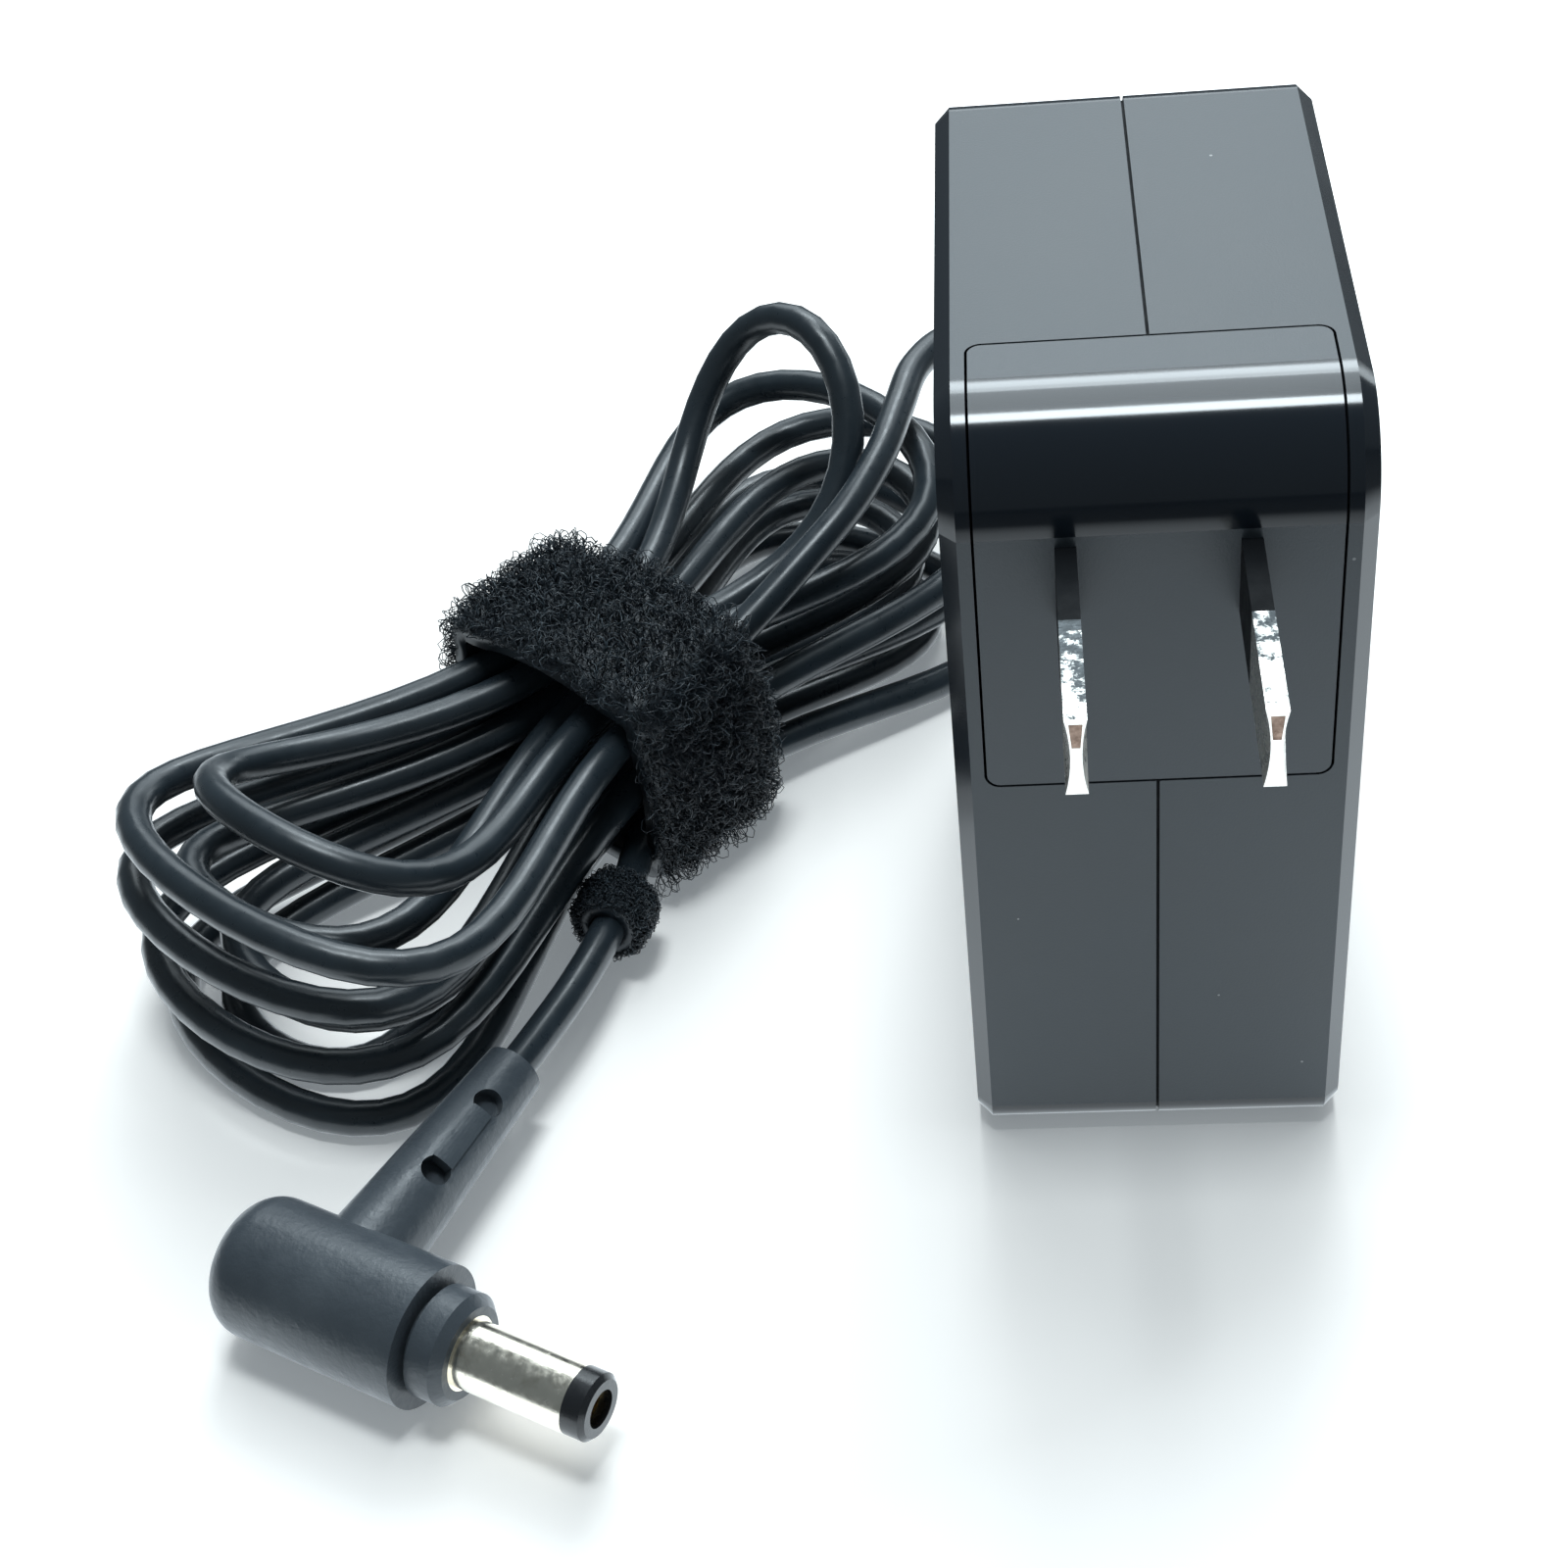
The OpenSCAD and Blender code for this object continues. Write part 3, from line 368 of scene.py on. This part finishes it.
def metal(name, base, worn, rough, scratch=0.25):
    """Plated metal with fine scratches and duller worn patches."""
    n = Nodes(name)
    wear = n.ramp(n.noise(450, 4, 0.65), 0.5, 0.72)
    fine = n.noise(6000, 2, 0.7)
    n.set(
        Base_Color=n.mix(wear, base, worn),
        Metallic=1.0,
        Roughness=n.ramp(n.noise(1500, 3), 0.3, 0.7, rough, rough + 0.14),
    )
    n.bump(fine, scratch, 0.00003)
    return n.material


def blade_metal():
    """Bright plated brass, mottled; its tops painted darker towards the root as reflection of the dark head,
    its end faces given a painted highlight and a brown field of painted reflection.
    """
    n = Nodes("blade_metal")
    place = n.place()
    at = n.add("ShaderNodeSeparateXYZ", {0: place}).outputs
    # painted reflection: the tops darker at the root, where they would mirror the dark head, and lighter at
    # the tip
    painted_reflection_to_tip = n.ramp(at["Y"], PAINTED_SHADE_Y, BRIGHT_Y, -0.10, 0.10)
    # the left blade's top a little darker than the right's
    right = n.ramp(at["X"], -0.001, 0.001, -0.06, 0.03)
    dents = n.noise(1100, 5, 0.7)
    # random mottle plus the painted reflection along the blade and the shift between the blades
    tone = n.math("ADD", n.math("ADD", dents, painted_reflection_to_tip), right)
    plated = n.mix(n.ramp(tone, 0.43, 0.58), (0.04, 0.045, 0.048), (0.56, 0.56, 0.53))
    normal = n.add("ShaderNodeSeparateXYZ", {0: n.add("ShaderNodeNewGeometry").outputs["Normal"]}).outputs
    flat = n.mix(n.ramp(dents, 0.4, 0.6), (0.46, 0.44, 0.40), (0.68, 0.66, 0.60))
    # only faces that look up take this mottled colour with its painted shade; the others take the even
    # plating
    plated = n.mix(n.math("GREATER_THAN", normal["Z"], 0.9), flat, plated)
    end = n.math("LESS_THAN", normal["Y"], -0.9)
    # where the end face gets its brown field of painted reflection: a trapezoid in each blade's middle, wider
    # at the top
    off_centre = n.math("ABSOLUTE", n.math("SUBTRACT", n.math("ABSOLUTE", at["X"]), BLADE_MIDDLE_X))
    narrow = n.ramp(at["Z"], *FIELD_Z, *FIELD_HALF)
    field = n.math("MULTIPLY", end, n.math("LESS_THAN", off_centre, narrow))
    field = n.math("MULTIPLY", field, n.math("LESS_THAN", at["Z"], FIELD_Z[1]))
    field = n.math("MULTIPLY", field, n.math("GREATER_THAN", at["Z"], FIELD_Z[0]))
    # painted highlight: the end faces, which look forward, far lighter than the rest of the plating
    painted_end_highlight = n.mix(end, plated, (0.93, 0.91, 0.86))
    # the field's colour, a painted reflection
    brown = n.mix(n.ramp(n.noise(1600, 3), 0.35, 0.65), (0.13, 0.085, 0.065), (0.27, 0.19, 0.15))
    along = n.add("ShaderNodeMapping", {"Vector": place, "Scale": (0.12, 1.0, 0.12)}).outputs[0]
    scratches = n.noise(2600, 2, 0.7, along)
    n.set(
        Base_Color=n.mix(field, painted_end_highlight, brown),
        Metallic=1.0,
        Roughness=n.ramp(dents, 0.35, 0.65, 0.42, 0.2),
    )
    n.bump(n.math("ADD", n.math("MULTIPLY", dents, 1.5), scratches), 0.5, 0.00006)
    return n.material


def cord_jacket():
    """Soft black jacket with a dull gloss."""
    n = Nodes("cord_jacket")
    cloud = n.ramp(n.noise(220, 3), 0.3, 0.7)
    n.set(
        Base_Color=n.mix(cloud, (0.016, 0.023, 0.029), (0.022, 0.031, 0.039)),
        Roughness=n.ramp(n.noise(900, 3), 0.3, 0.7, 0.26, 0.36),
    )
    n.bump(n.noise(1500, 3, 0.6), 0.07, 0.00006)
    return n.material


def pile():
    """Black nylon loops, each fibre a little lighter or darker than the next."""
    n = Nodes("pile")
    each = n.add("ShaderNodeNewGeometry").outputs["Random Per Island"]
    tone = n.math("MULTIPLY", n.math("POWER", each, 2.5), n.ramp(n.noise(300, 2), 0.35, 0.65, 0.3, 1.0))
    n.set(Base_Color=n.mix(tone, (0.009, 0.014, 0.020), (0.055, 0.075, 0.090)), Roughness=0.45)
    return n.material


MATERIALS = {
    "shell": shell_plastic("shell", (0.0105, 0.0150, 0.0215), (0.036, 0.045, 0.053), 0.42, 0.10),
    "head": shell_plastic("head", (0.0100, 0.0145, 0.0210), (0.038, 0.047, 0.056), 0.40, 0.09),
    "inner_plastic": plain_plastic("inner_plastic", (0.03, 0.03, 0.033), (0.04, 0.04, 0.043), 0.5),
    "blade_metal": blade_metal(),
    "sleeve": plain_plastic("sleeve", (0.003, 0.004, 0.0055), (0.005, 0.0065, 0.0085), 0.6, level=0.12),
    "contact_metal": metal("contact_metal", (0.75, 0.55, 0.25), (0.5, 0.34, 0.14), 0.25),
    "board": plain_plastic("board", (0.02, 0.14, 0.05), (0.03, 0.18, 0.06), 0.35),
    "ferrite": plain_plastic("ferrite", (0.05, 0.05, 0.052), (0.07, 0.07, 0.072), 0.7, 0.5),
    "tape": plain_plastic("tape", (0.7, 0.5, 0.06), (0.75, 0.56, 0.09), 0.3),
    "can": plain_plastic("can", (0.02, 0.03, 0.06), (0.03, 0.04, 0.07), 0.25),
    "film_cap": plain_plastic("film_cap", (0.75, 0.5, 0.05), (0.8, 0.56, 0.08), 0.3),
    "copper": metal("copper", (0.75, 0.33, 0.14), (0.5, 0.2, 0.08), 0.3),
    "chip": plain_plastic("chip", (0.02, 0.02, 0.022), (0.03, 0.03, 0.032), 0.5),
    "ceramic_white": plain_plastic("ceramic_white", (0.75, 0.75, 0.73), (0.8, 0.8, 0.78), 0.25),
    "ceramic_blue": plain_plastic("ceramic_blue", (0.03, 0.12, 0.5), (0.05, 0.15, 0.55), 0.25),
    "ceramic_green": plain_plastic("ceramic_green", (0.03, 0.25, 0.08), (0.05, 0.3, 0.1), 0.3),
    "sink": metal("sink", (0.75, 0.75, 0.76), (0.6, 0.6, 0.61), 0.3),
    "sheet": plain_plastic("sheet", (0.8, 0.79, 0.73), (0.84, 0.83, 0.77), 0.5),
    "cord_jacket": cord_jacket(),
    "strap": pile(),
    "overmould": plain_plastic("overmould", (0.050, 0.061, 0.073), (0.068, 0.081, 0.094), 0.36, 1.0, 1700),
    "barrel_metal": metal("barrel_metal", (0.86, 0.81, 0.70), (0.62, 0.57, 0.47), 0.14),
    "tip_plastic": plain_plastic("tip_plastic", (0.012, 0.013, 0.015), (0.018, 0.019, 0.022), 0.25),
}


def dress(obj, name):
    """Gives an object one material in all its slots."""
    if not obj.material_slots:
        obj.data.materials.append(MATERIALS[name])
    for slot in obj.material_slots:
        slot.material = MATERIALS[name]


for part in frame["record"]["subparts"]:
    dress(frame["nodes"][part["node"]], part["material_slot"])
dress(cord, "cord_jacket")


# -------------------------------------------------------------------- tie

STRAP_W = 15
STRAP_T = 2.0
STRAP_SKIN = 0.8                          # share of the thickness that the strap has without its pile
BAND = {"low": -12.5, "high": 9.9, "floor": 2.2, "top": 20.8, "round": 3.4}
BAND_ARC_STEPS = 8
BAND_STEP = 0.8
BAND_ROWS = 20
BULGE = {"right": 0.9, "top": 1.3, "left": 0.9, "bottom": 0.0}
BULGE_POWER = 1.5
SMOOTH_BELOW = 1.5                        # height under which the strap is even, as it lies there
BAND_EDGE_DROP = 0.9

TAIL_R = 3.2
TAIL_W = 5
TAIL_ROWS = 8
TAIL_AROUND = 28
TAIL_SWELL = 0.25
TAIL_EDGE_DROP = 0.5
TAIL_CLEAR = 0.5                          # between the strap's end and the lead inside it

CURLS_PER_MM2 = 11
CURL_SIDES = 3
CURL_RINGS = 7
CURL_R = (0.04, 0.068)
CURL_ARC = (0.24, 0.6)                    # radius of a curl, as a share of its size
CURL_TURN = (3.4, 6.4)
CURL_HEIGHT = (0.75, 1.6)
CURL_LEAN = 0.7
CURL_SLIDE = 0.6
CURL_ROOT = 0.12                          # how deep a curl starts below the surface
PILE_SIZE = {"band": 1.35, "tail": 0.6}
EDGE_SHARE = 1.5                          # curls on the outermost rows, against the others
EDGE_TILT = 1.2
LOWEST_PILE = 2.0                         # no curl starts lower, so that none goes through the floor


def on_hank(x, y, z):
    """From the hank's own frame, with x along it, to the row frame."""
    flat = HANK_CENTRE + x * ALONG - y * ACROSS
    return Vector((flat.x, flat.y, z))


def hank_dir(x, y, z):
    """The same for a direction."""
    flat = x * ALONG - y * ACROSS
    return Vector((flat.x, flat.y, z))


def band_outline():
    """Points and outward directions round the strap's outer face, drawn in (y, z)."""
    r = BAND["round"]
    y0, y1 = BAND["low"] - STRAP_T, BAND["high"] + STRAP_T
    z0, z1 = BAND["floor"] - STRAP_T, BAND["top"] + STRAP_T
    # Centre and first angle of each corner's arc, and the side that follows it
    sides = [
        ((y1 - r, z0 + r), -90, "right"), ((y1 - r, z1 - r), 0, "top"),
        ((y0 + r, z1 - r), 90, "left"), ((y0 + r, z0 + r), 180, "bottom"),
    ]
    corners = []
    for centre, start, _ in sides:
        arc = []
        for step in range(BAND_ARC_STEPS + 1):
            a = math.radians(start + 90 / BAND_ARC_STEPS * step)
            out = Vector((math.cos(a), math.sin(a)))
            arc.append((Vector(centre) + r * out, out))
        corners.append(arc)
    points = []
    for arc, (_, _, side), following in zip(corners, sides, corners[1:] + corners[:1]):
        points += arc
        (p, out), (q, _) = arc[-1], following[0]
        steps = round((q - p).length / BAND_STEP)
        for step in range(1, steps):
            f = step / steps
            swell = BULGE[side] * math.sin(math.pi * f) ** BULGE_POWER
            points.append((p.lerp(q, f) + swell * out, out))
    return points


def ruffle(x, s):
    """Small unevenness of the strap's surface at x along the hank and point s round it."""
    wide = noise.noise(Vector((x * 0.16, s * 0.13, 3.1)))
    fine = noise.noise(Vector((x * 0.6, s * 0.5, 8.2)))
    return 0.45 * wide + 0.18 * fine


def band_surface():
    """Rows of outer points and outward directions across the strap, each row once round it."""
    outline = band_outline()
    grid = []
    for row in range(BAND_ROWS + 1):
        x = STRAP_W * (row / BAND_ROWS - 0.5)
        drop = BAND_EDGE_DROP * abs(2 * row / BAND_ROWS - 1) ** 6
        ring = []
        for k, (p, out) in enumerate(outline):
            lift = 0 if p.y < SMOOTH_BELOW else ruffle(x, k)
            ring.append((on_hank(x, *(p + out * (lift - drop))), hank_dir(0, *out)))
        grid.append(ring)
    return grid


def tail_surface():
    """The strap's loose end, wound round the lead to the DC plug."""
    a, b = Vector(PLUG_POINTS[1]), Vector(PLUG_POINTS[2])
    axis = (b - a).normalized()
    side = axis.orthogonal().normalized()
    other = axis.cross(side)
    grid = []
    for row in range(TAIL_ROWS + 1):
        f = row / TAIL_ROWS - 0.5
        r = TAIL_R - TAIL_EDGE_DROP * abs(2 * f) ** 4
        ring = []
        for k in range(TAIL_AROUND):
            angle = 2 * math.pi * k / TAIL_AROUND
            out = math.cos(angle) * side + math.sin(angle) * other
            swell = TAIL_SWELL * noise.noise(Vector((2.1 * out.x, 2.1 * out.z, 3 * f)))
            ring.append(((a + b) / 2 + TAIL_W * f * axis + (r + swell) * out, out))
        grid.append(ring)
    return grid


def make_strap(name, grid, thickness):
    """Closed strap whose outer face is the grid."""
    bm = bmesh.new()
    outer = [[bm.verts.new(p * MM) for p, out in ring] for ring in grid]
    inner = [[bm.verts.new((p - out * thickness) * MM) for p, out in ring] for ring in grid]
    count = len(grid[0])
    bands = [*zip(outer, outer[1:]), *zip(inner[1:], inner)]
    for a, b in [*bands, (inner[0], outer[0]), (outer[-1], inner[-1])]:
        for i in range(count):
            j = (i + 1) % count
            bm.faces.new([a[i], a[j], b[j], b[i]])
    bmesh.ops.recalc_face_normals(bm, faces=bm.faces)
    mesh = bpy.data.meshes.new(name)
    bm.to_mesh(mesh)
    bm.free()
    for polygon in mesh.polygons:
        polygon.use_smooth = True
    return linked(name, mesh)


def curl(start, out, rng, size):
    """Centre points of one looped fibre that leaves the surface at start."""
    lean = Vector((rng.gauss(0, 1), rng.gauss(0, 1), rng.gauss(0, 1))).cross(out).normalized()
    up = (out + CURL_LEAN * rng.uniform(-1, 1) * out.cross(lean)).normalized()
    r = size * rng.uniform(*CURL_ARC)
    turn = rng.uniform(*CURL_TURN)
    slide = out.cross(lean) * size * rng.uniform(-CURL_SLIDE, CURL_SLIDE)
    height = rng.uniform(*CURL_HEIGHT)
    points = []
    for k in range(CURL_RINGS):
        f = k / (CURL_RINGS - 1)
        a = turn * f - 0.5 * math.pi
        above = up * (height * r * (1 + math.sin(a)))
        points.append(start + above + lean * (r * math.cos(a)) + slide * f - out * CURL_ROOT)
    return points


def make_pile(name, grid, size, seed):
    """Curly fibres all over the strap's outer face and edges, as one mesh."""
    rng = random.Random(seed)
    verts, faces = [], []
    rows, count = len(grid) - 1, len(grid[0])
    for row in range(rows):
        edge = EDGE_SHARE if row in (0, rows - 1) else 1
        for i in range(count):
            j = (i + 1) % count
            (p0, out), (p1, _) = grid[row][i], grid[row][j]
            (q0, _), (q1, _) = grid[row + 1][i], grid[row + 1][j]
            if p0.z < LOWEST_PILE:
                continue
            along = (grid[-1][i][0] - grid[0][i][0]).normalized()
            area = (p1 - p0).length * abs((q0 - p0).dot(along))
            wanted = area * CURLS_PER_MM2 * edge / size**2
            for _ in range(int(wanted + rng.random())):
                u, v = rng.random(), rng.random()
                start = p0.lerp(p1, u).lerp(q0.lerp(q1, u), v)
                tilt = EDGE_TILT * (2 * (row + v) / rows - 1) ** 9
                direction = (out + tilt * along).normalized()
                tube(curl(start, direction, rng, size), rng.uniform(*CURL_R), verts, faces, CURL_SIDES)
    return mesh_object(name, verts, faces)


band_grid = band_surface()
tail_grid = tail_surface()
strap = make_strap("tie_strap", band_grid, STRAP_SKIN * STRAP_T)
tail = make_strap("tie_end", tail_grid, TAIL_R - CORD_D / 2 - TAIL_CLEAR)
strap_pile = make_pile("tie_pile", band_grid, PILE_SIZE["band"], 11)
tail_pile = make_pile("tie_end_pile", tail_grid, PILE_SIZE["tail"], 12)
tie = [strap, tail, strap_pile, tail_pile]
for piece in tie:
    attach(piece, "housing")
    dress(piece, "strap")
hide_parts("tie_band")
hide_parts("tie_tail")


# ------------------------------------------------------ painted shadow: dark strip in the seam

FRONT_Y, BACK_Y, TOP_Z = -15.9, 34.1, 70  # of the shells, which stand on Z = 0
CORNER_R = 3                              # of the shells, but for the corner above the blades
HEAD_UNDERSIDE = 39.0                     # the strip starts under the plug head
HEAD_REAR = -3.3                          # and ends behind it
STRIP_HALF = 0.11                         # a little less than half the seam
STRIP_DEPTHS = (0.35, 0.95)
STRIP_ARC_STEPS = 6


def strip_path(depth):
    """Points (y, z) of the strip's edge at this depth below the shells' outer face."""
    corners = [
        ((FRONT_Y + CORNER_R, CORNER_R), 180), ((BACK_Y - CORNER_R, CORNER_R), 270),
        ((BACK_Y - CORNER_R, TOP_Z - CORNER_R), 0),
    ]
    points = [(FRONT_Y + depth, HEAD_UNDERSIDE)]
    for (y, z), start in corners:
        for step in range(STRIP_ARC_STEPS + 1):
            a = math.radians(start + 90 * step / STRIP_ARC_STEPS)
            points.append((y + (CORNER_R - depth) * math.cos(a), z + (CORNER_R - depth) * math.sin(a)))
    return points + [(HEAD_REAR, TOP_Z - depth)]


def make_seam_shadow():
    """Dark strip down in the seam between the shells, as painted shadow of the gap."""
    verts, faces = [], []
    for (y0, z0), (y1, z1) in zip(*map(strip_path, STRIP_DEPTHS)):
        for side, y, z in ((-1, y0, z0), (1, y0, z0), (1, y1, z1), (-1, y1, z1)):
            verts.append(Vector((side * STRIP_HALF, y, z)) * MM)
    for base in range(0, len(verts) - 4, 4):
        for i in range(4):
            j = (i + 1) % 4
            faces.append((base + i, base + j, base + j + 4, base + i + 4))
    faces.append((3, 2, 1, 0))
    faces.append(tuple(range(len(verts) - 4, len(verts))))
    return flat_object("seam_shadow_strip", verts, faces)


# ---------------------------------------------------------- DC plug's bridge

RELIEF_R = 4.2
RELIEF_TIP_R = 2.7
BRIDGE = (13.3, 19.5)                     # ends along the relief, just inside its two windows
BRIDGE_HALF = 1.2
BRIDGE_TURN = math.radians(35)            # from the relief's top towards the barrel
BRIDGE_PROUD = 0.14
BRIDGE_DEPTH = 1.0
BRIDGE_STEPS = 6


def make_bridge():
    """Tongue of the moulding that joins the two windows of the DC plug's strain relief."""
    half_turn = BRIDGE_HALF / RELIEF_R
    verts, faces = [], []
    for y in BRIDGE:
        surface = RELIEF_R + (RELIEF_TIP_R - RELIEF_R) * y / RELIEF_REACH
        for r in (surface - BRIDGE_DEPTH, surface + BRIDGE_PROUD):
            for step in range(BRIDGE_STEPS + 1):
                a = BRIDGE_TURN + half_turn * (2 * step / BRIDGE_STEPS - 1)
                out = math.sin(a) * BARREL_DIR + math.cos(a) * Vector((0, 0, 1))
                verts.append((PLUG_CROSS + y * RELIEF_DIR + r * out) * MM)
    row = BRIDGE_STEPS + 1
    low, high, low_far, high_far = (k * row for k in range(4))
    for i in range(BRIDGE_STEPS):
        for a, b in ((high, high_far), (low_far, low), (low, high), (high_far, low_far)):
            faces.append((a + i, a + i + 1, b + i + 1, b + i))
    faces.append((low, high, high_far, low_far))
    faces.append((low + row - 1, low_far + row - 1, high_far + row - 1, high + row - 1))
    return flat_object("plug_bridge", verts, faces)


bridge = make_bridge()
# the seam's dark strip takes the near-black sleeve plastic, as painted shadow in the seam
for piece, slot in ((bridge, "overmould"), (make_seam_shadow(), "sleeve")):
    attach(piece, "housing")
    dress(piece, slot)


# ------------------------------------------------------- floor, lights, world

# Lengths here are in metres
FLOOR_HALF = 1.5
FLOOR_DROP = 0.0001                       # keeps the floor clear of the faces that stand on it
SEEN_TONE = (1.0, 0.94, 0.89)             # the floor as the camera sees it
LIFT_TONE = (0.88, 0.97, 1.03)            # what is added to it
SEEN_LIFT = 0.20                          # how much of that near the object
MIRROR_LIFT = 1.05                        # and how much in reflections
PART_MIDDLE = (-0.038, 0.010, 0)
FAR_EDGE = (0.062, 0.135)                 # distances from the middle between which the floor turns white
SHEET_EDGE = (0.10, 0.19)                 # and from the origin, where the sheet that lights the object ends
SHEET_GREY, ROOM_GREY = 0.9, 0.12         # the floor for all other rays, on this sheet and off it
DIM_TONE = (0.80, 0.93, 1, 1)             # the room that the surfaces reflect
DIM_LEVEL = 0.18
LIGHT_TONE = (0.86, 0.965, 1.02)
AIM_HEIGHT = 0.03
# Each light: name, azimuth, elevation, width and height in degrees, radiance, distance
SOFT_BOXES = [
    ("back", 3, 33, 54, 36, 2.6, 1.1),
    ("low_strip", 3, 49, 16, 14, 11.0, 1.08),
    ("fill", 3, 69, 16, 28, 4.8, 1.12),
    ("high_strip", 3, 88, 18, 9, 28.0, 1.05),
    ("window", 32, 4, 30, 14, 2.6, 1.2),
]


def make_floor():
    """White floor: what the camera and reflections see of it is lifted to white, less the shadow."""
    mesh = bpy.data.meshes.new("floor")
    corners = [(x * FLOOR_HALF, y * FLOOR_HALF, 0) for x, y in ((-1, -1), (1, -1), (1, 1), (-1, 1))]
    mesh.from_pydata(corners, [], [(0, 1, 2, 3)])
    floor = linked("floor", mesh)
    n = Nodes("floor")
    path = n.add("ShaderNodeLightPath").outputs
    seen = path["Is Camera Ray"]
    mirrored = n.math("MAXIMUM", path["Is Glossy Ray"], path["Is Transmission Ray"])
    from_origin = n.add("ShaderNodeVectorMath", {0: n.place()}, operation="LENGTH")
    sheet = n.ramp(from_origin.outputs["Value"], *SHEET_EDGE, 1.0, 0.0)
    lighting = n.mix(sheet, (ROOM_GREY,) * 3, (SHEET_GREY,) * 3)
    n.set(Base_Color=n.mix(seen, lighting, SEEN_TONE), Roughness=1.0, Specular_IOR_Level=0.0)
    mirror_lift = n.math("MULTIPLY", n.math("MULTIPLY", mirrored, sheet), MIRROR_LIFT)
    from_middle = n.add("ShaderNodeVectorMath", {0: n.place(), 1: PART_MIDDLE}, operation="DISTANCE")
    backdrop = n.ramp(from_middle.outputs["Value"], *FAR_EDGE, SEEN_LIFT, 1.0)
    lift = n.math("ADD", n.math("MULTIPLY", seen, backdrop), mirror_lift)
    n.set(Emission_Color=LIFT_TONE, Emission_Strength=lift)
    mesh.materials.append(n.material)
    floor.location.z = -FLOOR_DROP


def soft_box(name, azimuth, elevation, width, height, radiance, distance):
    """Rectangular light that the object sees at azimuth (0 is +Y) and elevation, in degrees."""
    data = bpy.data.lights.new(name, "AREA")
    data.shape = "RECTANGLE"
    data.size = 2 * distance * math.tan(math.radians(width / 2))
    data.size_y = 2 * distance * math.tan(math.radians(height / 2))
    data.energy = radiance * math.pi * data.size * data.size_y
    data.color = LIGHT_TONE
    a, e = math.radians(azimuth), math.radians(elevation)
    toward = Vector((math.sin(a) * math.cos(e), math.cos(a) * math.cos(e), math.sin(e)))
    light = linked(name, data)
    light.location = toward * distance + Vector((0, 0, AIM_HEIGHT))
    light.rotation_euler = toward.to_track_quat("Z", "Y").to_euler()


def make_world():
    """Plain white behind everything, a dimmer surround for what the surfaces reflect."""
    world = bpy.data.worlds.new("studio")
    bpy.context.scene.world = world
    world.use_nodes = True
    tree = world.node_tree
    white = tree.nodes["Background"]
    white.inputs["Color"].default_value = (1, 1, 1, 1)
    dim = tree.nodes.new("ShaderNodeBackground")
    dim.inputs["Color"].default_value = DIM_TONE
    dim.inputs["Strength"].default_value = DIM_LEVEL
    path = tree.nodes.new("ShaderNodeLightPath")
    mix = tree.nodes.new("ShaderNodeMixShader")
    tree.links.new(path.outputs["Is Camera Ray"], mix.inputs[0])
    tree.links.new(dim.outputs[0], mix.inputs[1])
    tree.links.new(white.outputs[0], mix.inputs[2])
    tree.links.new(mix.outputs[0], tree.nodes["World Output"].inputs[0])


make_floor()
make_world()
for box in SOFT_BOXES:
    soft_box(*box)

view = bpy.context.scene.view_settings
view.view_transform = "Standard"

bpy.context.view_layer.update()
